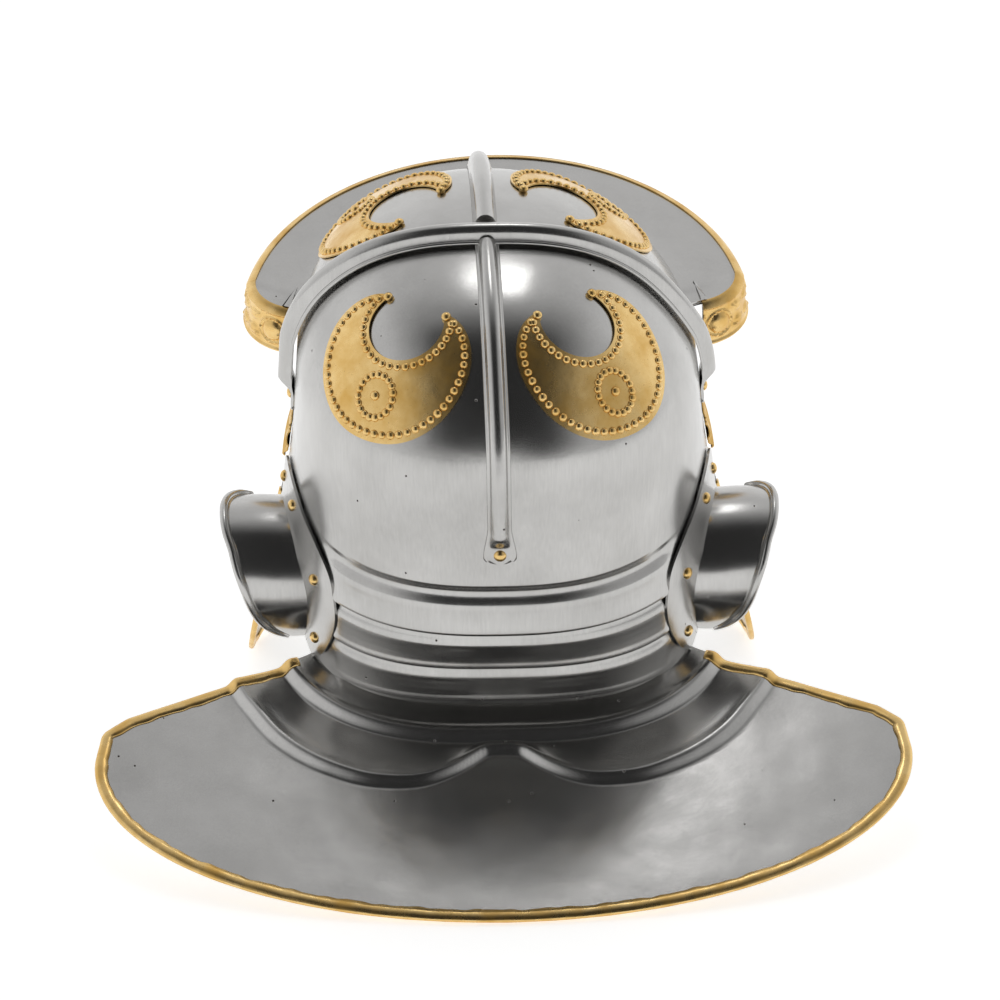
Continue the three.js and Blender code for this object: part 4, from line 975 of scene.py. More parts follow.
@dataclass
class Peak:
    """The brow peak: a plate with a turned-down skirt, tabs for its rivets and an embossed trim."""

    half_width: float = 125.0
    front: float = 180.0
    back: float = 55.0
    height: float = 61.0
    rise: float = 3.0
    skirt: float = 24.0
    band: float = 22.0
    plate: float = 1.4
    brass: float = 0.8
    tab: float = 14.0
    tab_depth: float = 17.0
    corner: float = 26.0
    corner_turn: float = 0.17
    curl: float = 1.35
    flare: float = 3.5
    motif: float = 33.0
    motif_end: float = 8.0

    def turns(self, front: int, end: int) -> np.ndarray:
        """Turns along the edge, with some more round the curl at each end."""
        curl = np.linspace(self.corner_turn - self.curl, self.corner_turn, end)
        middle = np.linspace(self.corner_turn, math.pi - self.corner_turn, front)
        return np.concatenate([curl[:-1], middle, math.pi - curl[::-1][1:]])

    def edge(self, turn: np.ndarray, inset: float = 0.0) -> np.ndarray:
        """Outer edge of the peak in plan, by turn from the right; behind its corners it curls back in."""
        side = np.where(np.cos(turn) < 0, -1.0, 1.0)
        ahead = np.where(side > 0, turn, math.pi - turn)
        at = np.maximum(ahead, self.corner_turn)
        curl = np.maximum(self.corner_turn - ahead, 0.0)
        radius = self.corner - inset
        x = (self.half_width - inset) * np.cos(at) - radius * (1 - np.cos(curl))
        y = self.back + (self.front - self.back - inset) * np.sin(at) - radius * np.sin(curl)
        return np.stack([side * x, y], -1)

    def top(self, turn: np.ndarray) -> np.ndarray:
        """Height of the plate at the edge."""
        return self.height + self.rise * np.maximum(np.sin(turn), 0)

    def root(self, turn: np.ndarray, z: np.ndarray) -> np.ndarray:
        """Inner edge of the plate, lying against the bowl."""
        edge = self.edge(turn)
        toward = unit(np.stack([-edge[..., 0], -np.maximum(edge[..., 1] - 4, 0) * 0.9, 0 * z], -1))
        hit = BOWL.hit(np.stack([edge[..., 0], edge[..., 1], z], -1), toward)
        return hit + BOWL.normal(hit) * SEAT

    def plate_piece(self) -> None:
        """The steel plate with its skirt."""
        turns = self.turns(140, 16)
        z = self.top(turns)
        root = self.root(turns, z)
        rows = []
        rim = np.concatenate([self.edge(turns, 2.4), z[:, None]], -1)
        for share in np.linspace(0, 1, 14):
            row = root * (1 - share) + rim * share
            sag = 1.2 * math.sin(math.pi * share) * np.maximum(np.sin(turns), 0)
            row[:, 2] += 1.6 * (1 - share) ** 3 - sag
            rows.append(row)
        for turn in np.linspace(0.25, math.pi / 2, 5):
            away = 2.4 * math.sin(turn)
            drop = 2.4 * (1 - math.cos(turn))
            rows.append(np.concatenate([self.edge(turns, 2.4 - away), (z - drop)[:, None]], -1))
        for drop in np.linspace(4, self.skirt, 8):
            rows.append(np.concatenate([self.edge(turns, -self.flare * drop / self.skirt),
                                        (z - drop)[:, None]], -1))
        grid = np.stack(rows)
        away = grid - np.array([0, 60.0, 20.0])
        made = sheet("peak_plate", grid, away, self.plate)
        tabs = [self.tab_piece(side) for side in Side]
        finish_piece(made, STEEL, HELMET, "brow_peak")
        for tab in tabs:
            finish_piece(tab, STEEL, HELMET)

    def tab_spot(self, side: int, along: np.ndarray, down: np.ndarray) -> np.ndarray:
        """Place on a tab by its shares along and down."""
        end = self.root(np.array([self.corner_turn - self.curl]), np.array([self.height]))[0]
        y = end[1] + self.tab * (0.5 - along)
        p = BOWL.side_point(side, y, self.height - down * self.tab_depth)
        return p + BOWL.normal(p) * (SEAT + self.plate)

    def tab_piece(self, side: Side) -> bpy.types.Object:
        """The tab at one end of the peak, lying on the bowl."""
        along, down = np.meshgrid(np.linspace(-0.05, 1, 9), np.linspace(-0.04, 1, 11), indexing="ij")
        corner = np.clip((along - 0.6) / 0.4, 0, 1) * np.clip((down - 0.6) / 0.4, 0, 1)
        grid = self.tab_spot(side.sign, along - 0.12 * corner, down - 0.12 * corner)
        return sheet(f"peak_tab_{side.word}", grid, np.array([side.sign, 0.0, 0.0]), self.plate)

    def relief(self, run: np.ndarray, up: np.ndarray) -> np.ndarray:
        """Relief of the embossed trim: bosses, beads and pairs of leaves, in millimetres.

        Args:
            run: Distance along the trim from its middle.
            up: Height from the trim's middle line.

        Returns:
            How far the sheet is pushed out.
        """
        reach = float(run.max()) - self.motif_end
        pitch = reach / round(reach / self.motif)
        near = (np.abs(run) + pitch / 2) % pitch - pitch / 2
        far = np.abs(near)
        boss = np.hypot(near, up)
        high = 2.3 * np.sqrt(np.clip(1 - (boss / 5.2) ** 2, 0, 1)) - 0.5 * bump(boss, 5.9, 0.5)
        high += 0.9 * bump(boss, 6.8, 0.45)
        for place, lift in ((8.4, 5.6), (8.4, -5.6)):
            bead = np.hypot(far - place, up - lift)
            high += 1.2 * np.sqrt(np.clip(1 - (bead / 1.3) ** 2, 0, 1))
        for lift in (4.2, -4.2):
            along = far - 12.6
            cross = up - lift - 0.2 * np.sign(lift) * (along / 3.0) ** 2
            leaf = 1 - (along / 4.1) ** 2 - (np.abs(cross) / (2.7 * (1.0 - along * 0.12))) ** 1.5
            high += 1.25 * np.sqrt(np.clip(leaf, 0, 1)) - 0.4 * bump(cross, 0, 0.25) * (leaf > 0)
        border = 0.9 * bump(np.abs(up), self.band / 2 - 1.1, 0.7)
        return np.maximum(high, 0) * smooth(self.band / 2 - np.abs(up), 1.4, 2.2) + border

    def trim_piece(self) -> None:
        """The embossed brass trim over the skirt."""
        turns = self.turns(640, 60)
        line = self.edge(turns)
        gaps = np.linalg.norm(np.diff(line, axis=0), axis=1)
        run = np.concatenate([[0.0], np.cumsum(gaps)])
        run -= run[-1] / 2
        ups = np.linspace(self.band / 2, -self.band / 2, 34)
        middle = self.top(turns) - self.skirt / 2
        slope = unit(np.gradient(line, axis=0))
        out = np.stack([slope[:, 1], -slope[:, 0]], -1)
        high = self.relief(run[None], ups[:, None]) + self.flare * (0.5 - ups / self.skirt)[:, None]
        plan = line[None] + out[None] * (SEAT + self.brass + high)[..., None]
        grid = np.concatenate([plan, (middle[None] + ups[:, None])[..., None]], -1)
        fold = [grid[0] * 1.0, grid[0] * 1.0]
        for row, (inset, lift) in zip(fold, ((0.2, 0.7), (2.6, 1.1))):
            row[:, :2] = self.edge(turns, inset)
            row[:, 2] = self.top(turns) + lift - 0.35
        grid = np.concatenate([np.stack(fold[::-1]), grid])
        ways = np.concatenate([np.broadcast_to(out[None], grid.shape[:2] + (2,)),
                               np.full(grid.shape[:2] + (1,), 0.3)], -1)
        made = sheet("peak_trim_band", grid, ways, 0.6, 0.15)
        finish_piece(made, BRASS, HELMET, "brow_peak_trim")

    def build(self) -> None:
        """Builds the peak, its trim and its rivets."""
        self.plate_piece()
        self.trim_piece()
        for side in Side:
            spot = self.tab_spot(side.sign, np.array(0.75), np.array(0.62))
            Rivet(3.2, 2.2).set(f"peak_rivet_{side.word}", spot, BOWL.normal(spot), HELMET)


# ---- Brow strip ----


@dataclass
class BrowStrip:
    """The brass strip round the bowl's front rim, with a rolled lower edge and embossed discs."""

    low: float = 3.0
    high: float = 26.0
    start: float = 8.0
    lip: float = 2.2
    motif: float = 30.0

    def build(self) -> None:
        """Builds the strip."""
        _, front, _, square, _ = (float(v) for v in BOWL.section(0.0))
        first = math.asin((self.start / front) ** (square / 2))
        turns = np.linspace(first, math.pi - first, 520)
        line = BOWL.ring(turns, np.full(turns.shape, 14.0))
        gaps = np.linalg.norm(np.diff(line, axis=0), axis=1)
        run = np.concatenate([[0.0], np.cumsum(gaps)])
        run -= run[-1] / 2
        z = np.linspace(self.high, self.low, 40)
        plain = BOWL.ring(turns[None], z[:, None])
        up = z - (self.high + self.low) / 2
        near = (run + self.motif / 2) % self.motif - self.motif / 2
        boss = np.hypot(near[None], up[:, None])
        high = 1.5 * np.sqrt(np.clip(1 - (boss / 4.8) ** 2, 0, 1)) + 0.7 * bump(boss, 6.6, 0.6)
        far = np.abs(run % self.motif - self.motif / 2)
        diamond = np.hypot(far[None] * 1.4, up[:, None] * 0.7)
        high = high + 1.1 * np.sqrt(np.clip(1 - (diamond / 3.6) ** 2, 0, 1))
        high = high + 0.8 * bump(np.abs(up), 9.0, 0.7)[:, None]
        roll = self.lip * bump(z, self.low + 1.4, 1.6)[:, None]
        grid = plain + BOWL.normal(plain) * (SEAT + 0.8 + high + roll)[..., None]
        made = sheet("brow_band", grid, BOWL.normal(grid.reshape(-1, 3)), 0.7, 0.15)
        finish_piece(made, BRASS, HELMET, "brow_strip")


# ---- Neck guard ----


@dataclass
class NeckGuard:
    """The neck guard: a sloping plate with a raised band and two lobes, bound in brass."""

    half_width: float = 194.0
    widest: float = -134.0
    rear: float = 228.0
    corner_x: float = 181.0
    corner_y: float = -109.0
    root_y: float = -74.0
    plate: float = 1.4
    band_rise: float = 4.0
    lobe_rise: float = 3.0
    band_reach: float = 14.0
    lobe_reach: float = 48.0
    step: float = 5.0
    root_cover: float = 4.0
    columns: int = 120
    rows: int = 110
    binding_cover: float = 5.0
    lobes: tuple[tuple[float, float], ...] = (
        (0.0, 0.95), (0.2, 0.95), (0.4, 1.0), (0.6, 1.02), (0.75, 1.0), (0.87, 0.88), (0.95, 0.66),
        (1.0, 0.44),
    )

    def outer(self, share: np.ndarray) -> np.ndarray:
        """Outer edge in plan, from the front corner at 0 to the middle of the rear at 1."""
        widest = np.array([self.half_width, self.widest])
        corner = np.array([self.corner_x, self.corner_y])
        bulge = corner + (widest - corner) * np.array([0.85, 0.35])
        depth = self.rear + self.widest
        arc = np.linspace(0, math.pi / 2, 90)
        rear = np.stack([self.half_width * np.cos(arc), self.widest - depth * np.sin(arc)], -1)
        near = np.stack([corner + (bulge - corner) * t for t in np.linspace(0, 1, 8)])
        blend = np.stack([bulge + (widest - bulge) * t for t in np.linspace(0, 1, 8)])[1:-1]
        line = np.concatenate([near, blend, rear])
        rows = self.knots()
        return np.stack([np.interp(share, rows, line[:, k]) for k in range(2)], -1)

    def knots(self) -> np.ndarray:
        """Shares of the outer edge's points, as in the plain solid: by column, not by length."""
        last = 16.0
        near = np.linspace(0, 1 / last, 8)
        blend = np.linspace(1 / last, 2 / last, 8)[1:-1]
        rear = 2 / last + np.linspace(0, 1, 90) * (1 - 2 / last)
        return np.concatenate([near, blend, rear])

    def root(self, share: np.ndarray) -> np.ndarray:
        """Inner edge in plan, just under the nape's wall."""
        _, _, rear, _, square = (float(v) for v in BOWL.section(-BOWL.nape_depth))
        first = math.asin((-self.root_y / rear) ** (square / 2))
        turns = first + (math.pi / 2 - first) * share
        return BOWL.ring(-turns, np.full(turns.shape, -BOWL.nape_depth), self.root_cover)[..., :2]

    def height(self, y: np.ndarray) -> np.ndarray:
        """Height of the plain top surface."""
        return seam_height(y) - SEAT - self.band_rise

    def relief(self, at: np.ndarray, share: np.ndarray) -> np.ndarray:
        """Rise of the band and the lobes at a distance from the root."""
        band = self.root_cover + self.band_reach
        reach = curve_through(self.lobes, share) * self.lobe_reach
        lobe = np.maximum(reach, band + self.step + 2)
        rise = smooth((at - band - self.step) / (lobe - band - self.step), 0.0, 1.0)
        upper = self.lobe_rise * (0.3 + 0.7 * rise)
        inner = self.band_rise + 0.7 * bump(at, band - 1.6, 2.2) + 1.6 * bump(at, 0.0, 7.0)
        steps = inner + (upper - inner) * smooth(at, band, band + self.step)
        lip = 0.55 * np.exp(-(((at - lobe + 1.2) / 2.2) ** 2))
        return (steps + lip) * (1 - smooth(at - lobe, 0.0, self.step))

    def grid(self, side: int) -> np.ndarray:
        """Points of one half of the plate."""
        share = np.linspace(0, 1, self.columns) ** 0.9
        edge, root = self.outer(share), self.root(share)
        span = np.linalg.norm(edge - root, axis=-1)
        t = np.linspace(0, 1, self.rows) ** 1.35
        at = t[:, None] * span[None]
        plan = root[None] + (edge - root)[None] * t[:, None, None]
        rise = self.relief(at, share[None])
        z = self.height(plan[..., 1]) + rise
        return np.stack([side * plan[..., 0], plan[..., 1], z], -1)

    def plate_piece(self) -> None:
        """The steel plate."""
        right, left = self.grid(1), self.grid(-1)
        grid = np.concatenate([left, right[:, ::-1][:, 1:]], axis=1)
        made = sheet("neck_guard_plate", grid, np.array([0, 0, 1.0]), self.plate)
        finish_piece(made, STEEL, HELMET, "neck_guard")

    def binding_piece(self) -> None:
        """The brass binding, folded over the plate's edges and dressed down with a hammer."""
        right, left = self.grid(1), self.grid(-1)
        front_left, front_right = left[:, 0], right[:, 0]
        skip = int(self.rows * 0.22)
        path = np.concatenate([front_left[skip:-1], left[-1], right[-1, ::-1][1:],
                               front_right[skip:-1][::-1]])
        path = resample(path, 1.6)
        path[:, 2] -= self.plate / 2
        along = unit(np.gradient(path, axis=0))
        for _ in range(2):
            along = unit(np.concatenate([along[:1], (along[:-2] + along[1:-1] * 2 + along[2:]) / 4,
                                         along[-1:]]))
        up = unit(np.array([0.0, -math.tan(math.radians(6.0)), 1.0]))
        out = unit(np.cross(along, np.broadcast_to(up, along.shape)))
        outer_side = np.sum(out * (path - np.array([0, -120.0, -60.0])), axis=1)
        out = out if float(outer_side.sum()) > 0 else -out
        run = np.arange(len(path)) * 1.6
        wave = 0.28 * np.sin(run / 5.1) + 0.2 * np.sin(run / 2.3 + 1.0) + 0.14 * np.sin(run / 1.37 + 2.2)
        inner = self.plate / 2 + 0.05
        top = [(-self.binding_cover, inner), (-self.binding_cover - 0.05, inner + 0.35),
               (-self.binding_cover + 0.5, inner + 0.85), (-self.binding_cover * 0.55, inner + 1.1),
               (-0.6, inner + 0.95), (0.7, inner + 0.35), (1.15, 0.0)]
        low = [(u, -v) for u, v in reversed(top[:-1])]
        inside = [(0.35, -inner), (0.35, inner)]
        section = np.array(top + low + inside)
        sections = np.repeat(section[None], len(path), axis=0)
        edge = (sections[..., 0] < -self.binding_cover + 0.6)
        sections[..., 0] += np.where(edge, wave[:, None], 0.0)
        sections[..., 1] *= (1 + 0.05 * np.sin(run / 3.7))[:, None]
        made = outward_faces(sweep("neck_guard_rim", sections, path, out, np.broadcast_to(up, out.shape)))
        finish_piece(made, BRASS, HELMET, "neck_guard_binding")

    def build(self) -> None:
        """Builds the plate and its binding."""
        self.plate_piece()
        self.binding_piece()


# ---- Ear guards ----


@dataclass
class EarGuards:
    """The ear guards: a flange riveted round the ear opening and a scoop with a rolled rim."""

    y: float = -40.0
    z: float = -25.0
    radius: float = 33.0
    flange: float = 20.0
    reach: float = 34.0
    bulge: float = 0.9
    roll: float = 2.1
    lift: float = 0.8
    plate: float = 1.3
    rivets: tuple[float, ...] = (56.0, 98.0, 148.0, 200.0)
    rows: tuple[tuple[float, float, float, float], ...] = (
        (42, 1, 0.95, 0.5), (60, 1, 1, 0.78), (78, 1, 1, 0.92), (96, 1, 1, 0.98), (113, 1, 1, 1),
        (130, 1, 1.1, 0.97), (147, 1, 1.15, 0.97), (163, 1, 1, 0.93), (179, 1, 0.85, 0.86),
        (195, 1, 0.75, 0.72),
        (208, 1.04, 0.65, 0.52), (220, 1.08, 0.45, 0.27),
    )

    def seat(self, side: int, radius: np.ndarray, turn: np.ndarray, away: float) -> np.ndarray:
        """Place on or over the bowl round the ear."""
        p = BOWL.side_point(side, self.y + radius * np.cos(turn), self.z + radius * np.sin(turn))
        return p + BOWL.normal(p) * away

    def build_side(self, side: Side) -> None:
        """Builds one ear guard and sets its rivets."""
        degrees = np.linspace(42, 220, 120)
        turn = np.radians(degrees)
        arch, flange, reach = curve_through(self.rows, degrees).T
        root = self.radius * arch
        away = self.lift + self.plate
        rows = [self.seat(side.sign, root + self.flange * flange * t, turn,
                          away) for t in (1, 0.8, 0.6, 0.4, 0.22)]
        rows.append(self.seat(side.sign, root + 2.4, turn, away + 0.1))
        neck = self.seat(side.sign, root + 1.5, turn, away + 0.4)
        for share in (0.02, 0.06, 0.14, 0.25, 0.4, 0.55, 0.7, 0.8, 0.88):
            out = self.reach * reach * share
            radius = root + 0.6 + self.bulge * np.sin(np.pi * share) * reach
            rows.append(np.stack([neck[:, 0] + side.sign * out, self.y + radius * np.cos(turn),
                                  self.z + radius * np.sin(turn)], -1))
        roll = self.roll * np.clip(reach * 1.5, 0.35, 1)
        base = root + 0.6 + self.bulge * math.sin(math.pi * 0.9) * reach
        for a in np.linspace(-1.9, 2.4, 15):
            out = self.reach * reach - roll + roll * np.sin(a)
            radius = base + roll * (np.cos(a) + 0.3)
            rows.append(np.stack([neck[:, 0] + side.sign * out, self.y + radius * np.cos(turn),
                                  self.z + radius * np.sin(turn)], -1))
        grid = np.stack(rows)
        hint = np.stack([np.full(grid.shape[:2], side.sign * 0.5), (grid[..., 1] - self.y) / self.radius,
                         (grid[..., 2] - self.z) / self.radius], -1)
        hint[11:] = 0
        made = sheet(f"ear_scoop_{side.word}", grid, hint, self.plate, even=False)
        finish_piece(made, STEEL, HELMET, f"ear_guard_{side.word}")
        for i, place in enumerate(self.rivets):
            a = math.radians(place)
            values = curve_through(self.rows, np.array([place]))[0]
            radius = self.radius * values[0] + self.flange * values[1] * 0.5
            spot = self.seat(side.sign, np.array(radius), np.array(a), away)
            Rivet(2.9, 2.1).set(f"ear_rivet_{side.word}_{i + 1}", spot, BOWL.normal(spot), HELMET)

    def build(self) -> None:
        """Builds both ear guards."""
        for side in Side:
            self.build_side(side)


# ---- Crescents ----


@dataclass
class Crescent:
    """A brass crescent on the dome, with rows of punched beads, a rosette and its nails."""

    name: str
    x: float
    y: float
    turn_side: int
    size: float = 53.0
    bite: float = 18.0
    turn: float = 8.0
    lift: float = 0.45
    brass: float = 0.8
    bead: float = 1.95
    bead_height: float = 1.35
    bead_inside: float = 3.2
    outer_pitch: float = 4.15
    inner_pitch: float = 4.0
    heart_share: float = 0.66
    rosette: float = 9.0
    rosette_beads: int = 19
    rows: tuple[tuple[float, float], ...] = (
        (0, 1.0), (20, 0.98), (40, 0.905), (60, 0.8), (80, 0.69), (100, 0.565), (115, 0.46), (126, 0.37),
    )

    def __post_init__(self) -> None:
        """Works out the crescent's own axes."""
        above = np.array([[self.x, self.y, BOWL.crown + 40]])
        self.centre = BOWL.hit(above, np.array([0, 0, -1.0]))[0]
        self.normal = BOWL.normal(self.centre[None])[0]
        crown = unit(np.array([0, 0, 1.0]) - self.normal * self.normal[2])
        swing = Matrix.Rotation(self.turn_side * math.radians(self.turn), 3, Vector(self.normal))
        self.away = np.array(swing @ Vector(-crown))
        self.across = np.cross(self.normal, self.away)

    def rim(self, turn: np.ndarray) -> np.ndarray:
        """Outer radius by turn from the middle, in degrees."""
        mirrored = [(-k, v) for k, v in reversed(self.rows[1:])] + list(self.rows)
        return curve_through(mirrored, turn) * self.size

    def laid(self, turn: np.ndarray, radius: np.ndarray, lift: float) -> np.ndarray:
        """Place over the dome by turn in degrees and radius from the bite's middle."""
        a = np.radians(turn)
        flat = (self.centre + self.away * (radius * np.cos(a))[..., None]
                + self.across * (radius * np.sin(a))[..., None])
        hit = BOWL.hit(flat + self.normal * 60, -self.normal)
        return hit + BOWL.normal(hit) * lift

    def outline(self) -> tuple[np.ndarray, np.ndarray, np.ndarray]:
        """Turns, inner radii and outer radii, with the horns rounded off."""
        widest = self.rows[-1][0] + 4
        turn = np.degrees(np.linspace(-1, 1, 160) * math.radians(widest))
        rim = self.rim(turn)
        close = np.sqrt(np.clip(1 - np.clip((np.abs(turn) - widest + 9) / 9, 0, 1) ** 2, 0.02, 1))
        middle = (self.bite + rim) / 2
        return turn, middle + (self.bite - middle) * close, middle + (rim - middle) * close

    def sheet_piece(self) -> None:
        """The brass sheet, sunk a little between its edges."""
        turn, inner, outer = self.outline()
        t = np.linspace(0, 1, 26)
        radius = inner[None] + (outer - inner)[None] * t[:, None]
        grid = self.laid(np.broadcast_to(turn[None], radius.shape), radius, self.lift + self.brass)
        made = sheet(f"{self.name}_sheet", grid, self.normal, self.brass, 0.2)
        finish_piece(made, BRASS, HELMET, self.name)

    def bead_spots(self) -> np.ndarray:
        """Places of the punched beads along both edges and round the rosette."""
        turn, inner, outer = self.outline()
        inside = self.bead_inside
        flat_out = np.stack([np.radians(turn), outer - inside], -1)
        flat_in = np.stack([np.radians(turn), inner + inside], -1)
        wide = outer - inner > 2.2 * inside
        spots = []
        for line, pitch in ((flat_out, self.outer_pitch), (flat_in, self.inner_pitch)):
            line = line[wide]
            plan = np.stack([line[:, 1] * np.cos(line[:, 0]), line[:, 1] * np.sin(line[:, 0])], -1)
            spots.append(resample(plan, pitch))
        ring = np.linspace(0, 2 * math.pi, self.rosette_beads, endpoint=False)
        self.heart = np.array([self.heart_share * self.size, 0.0])
        spots.append(self.heart + self.rosette * np.stack([np.cos(ring), np.sin(ring)], -1))
        return np.concatenate(spots)

    def on_plan(self, plan: np.ndarray, lift: float) -> np.ndarray:
        """Points of the crescent's own plan laid over the dome."""
        return self.laid(np.degrees(np.arctan2(plan[:, 1], plan[:, 0])),
                         np.hypot(plan[:, 0], plan[:, 1]), lift)

    def build(self) -> None:
        """Builds the sheet, its beads, its rosette and its nails."""
        self.sheet_piece()
        top = self.lift + self.brass
        spots = self.on_plan(self.bead_spots(), top)
        beads = DOMES.make(f"{self.name}_beads", spots, BOWL.normal(spots), self.bead, self.bead_height,
                           BRASS, sides=12, rings=8,
                           variation=0.07)
        finish_piece(beads, BRASS, HELMET)
        widest = self.rows[-1][0]
        horn = (self.bite + self.rim(np.array([widest]))[0]) / 2
        tip = math.radians(widest - 3)
        nails = horn * np.array([[math.cos(tip), math.sin(tip)], [math.cos(tip), -math.sin(tip)]])
        nails = np.concatenate([nails, self.heart[None]])
        placed = self.on_plan(nails, top)
        heads = DOMES.make(f"{self.name}_nails", placed, BOWL.normal(placed), 2.3, 1.7, BRASS, sides=16,
                           rings=10)
        finish_piece(heads, BRASS, HELMET)


# ---- Cheek guards ----


@dataclass
class CheekGuards:
    """The hinged cheek guards: a curled plate with brass edging, and the rivets of its hinge."""

    hinge_y: float = 38.0
    drop: float = 6.0
    hinge_length: float = 30.0
    knuckle: float = 3.0
    leaf: float = 1.2
    leaf_height: float = 16.0
    length: float = 152.0
    width: float = 74.0
    splay: float = 12.0
    curl: float = 16.0
    top_gap: float = 5.0
    plate: float = 1.2
    bowl_wall: float = 1.5
    rows: tuple[tuple[float, float, float], ...] = (
        (0, -0.3, 0.3), (0.07, -0.39, 0.38), (0.2, -0.44, 0.42), (0.33, -0.44, 0.36), (0.46, -0.42, 0.44),
        (0.58, -0.42, 0.55), (0.7, -0.42, 0.5), (0.82, -0.38, 0.48), (0.93, -0.24, 0.4), (1, -0.02, 0.22),
    )

    def hinge_frame(self, side: Side) -> Matrix:
        """Matrix of the hinge's frame in the level frame."""
        seat = BOWL.side_point(side.sign, self.hinge_y, self.leaf_height - self.drop)
        facing = BOWL.normal(np.array([[seat[0], seat[1], 1.0]]))[0]
        yaw = math.atan2(facing[1], facing[0])
        bend = self.hinge_length**2 / (8 * BOWL.half_width)
        inset = self.bowl_wall + SEAT * 2 + bend - self.knuckle + self.leaf
        place = Vector((seat[0] - math.cos(yaw) * inset, seat[1] - math.sin(yaw) * inset, -self.drop))
        return Matrix.Translation(place) @ Matrix.Rotation(yaw, 4, "Z")

    def swing_frame(self, side: Side) -> Matrix:
        """Matrix of the cheek guard's own frame in the level frame."""
        return self.hinge_frame(side) @ Matrix.Rotation(-math.radians(self.splay), 4, "Y")

    def spot(self, down: np.ndarray, along: np.ndarray) -> np.ndarray:
        """Place on the outer face, by its share down and along, in the guard's own frame."""
        back, fore = curve_through(self.rows, down).T if down.ndim == 1 else np.moveaxis(
            curve_through(self.rows, down.ravel()).reshape(down.shape + (2,)), -1, 0)
        y = (back + (fore - back) * along) * self.width
        curl = np.clip((y + self.width * 0.1) / (self.width * 0.65), 0, 1) ** 1.6
        hollow = np.clip((down - 0.12) * 3, 0, 1)
        x = self.knuckle - self.leaf + SEAT + self.plate - self.curl * curl * hollow
        return np.stack([x, y, -self.top_gap - down * (self.length - self.top_gap)], -1)

    def to_level(self, side: Side, points: np.ndarray, moving: bool = True) -> np.ndarray:
        """Points of a hinge's frame in the level frame, mirrored along the hinge on the left."""
        local = points * np.array([1.0, side.sign if moving else 1.0, 1.0])
        turn = np.array(self.swing_frame(side) if moving else self.hinge_frame(side))
        return local @ turn[:3, :3].T + turn[:3, 3]

    def build_side(self, side: Side) -> None:
        """Builds one cheek guard, its edging and its rivets."""
        body = f"cheek_{side.word}"
        down, along = np.meshgrid(np.linspace(0, 1, 90), np.linspace(0, 1, 44), indexing="ij")
        local = self.spot(down, along)
        level = self.to_level(side, local)
        out = np.array(self.swing_frame(side))[:3, 0]
        made = sheet(f"cheek_plate_{side.word}", level, out, self.plate)
        finish_piece(made, STEEL, body, f"cheek_guard_{side.word}")
        first = 6
        path = np.concatenate([local[first:, 0], local[-1, 1:], local[first:-1, -1][::-1]])
        path = resample(path, 1.5)
        along_path = unit(np.gradient(path, axis=0))
        down_way = unit(np.gradient(local, axis=0).reshape(-1, 3))
        side_way = unit(np.gradient(local, axis=1).reshape(-1, 3))
        normals = unit(np.cross(down_way, side_way))
        normals = normals * np.sign(normals[:, :1])
        near = [int(np.argmin(np.sum((local.reshape(-1, 3) - p) ** 2, axis=1))) for p in path]
        up = normals[near]
        outwards = unit(np.cross(along_path, up))
        middle = local.reshape(-1, 3).mean(axis=0)
        outwards = outwards * np.sign(np.sum(outwards * (path - middle), axis=1))[:, None]
        inner = self.plate / 2 + 0.05
        top = [(-3.4, inner), (-3.4, inner + 0.5), (-2.6, inner + 0.95), (-1.0, inner + 0.95),
               (0.5, inner + 0.5), (0.95, 0.0)]
        section = np.array(top + [(u, -v) for u, v in reversed(top[:-1])] + [(0.3, -inner), (0.3, inner)])
        centre = path - up * self.plate / 2
        pts = centre[:, None] + outwards[:, None] * section[None, :,
                                                            :1] + up[:, None] * section[None, :, 1:2]
        flat = self.to_level(side, pts.reshape(-1, 3)).reshape(pts.shape)
        edging = self.strip(f"cheek_rim_{side.word}", flat)
        finish_piece(edging, BRASS, body, f"cheek_edging_{side.word}")
        for i, way in enumerate((-1, 1)):
            spot = np.array([[self.knuckle - self.leaf + SEAT + self.plate, way * self.hinge_length / 3,
                              -self.leaf_height * 0.7]])
            placed = self.to_level(side, spot * np.array([1, side.sign, 1]))[0]
            Rivet(2.2, 1.5).set(f"cheek_rivet_{side.word}_{i + 1}", placed, out, body)
            inside = np.array([[-self.knuckle, way * self.hinge_length / 3, self.leaf_height * 0.65]])
            fixed = self.to_level(side, inside, moving=False)[0]
            inward = -np.array(self.hinge_frame(side))[:3, 0]
            Rivet(2.2, 1.5).set(f"hinge_rivet_{side.word}_{i + 1}", fixed, inward, HELMET)
        log.info("cheek guard on the %s stands for its solids", side.word)

    def strip(self, name: str, rings: np.ndarray) -> bpy.types.Object:
        """A closed strip through rings of level points."""
        rows, columns = rings.shape[:2]
        flat = rings.reshape(-1, 3)
        faces = list(map(tuple, grid_faces(rows, columns, around=True).tolist()))
        faces += [tuple(range(columns)), tuple(range((rows - 1) * columns, rows * columns))]
        return outward_faces(add_object(name, STAND.place(flat), faces))

    def build(self) -> None:
        """Builds both cheek guards."""
        for side in Side:
            self.build_side(side)


# ---- Studio ----


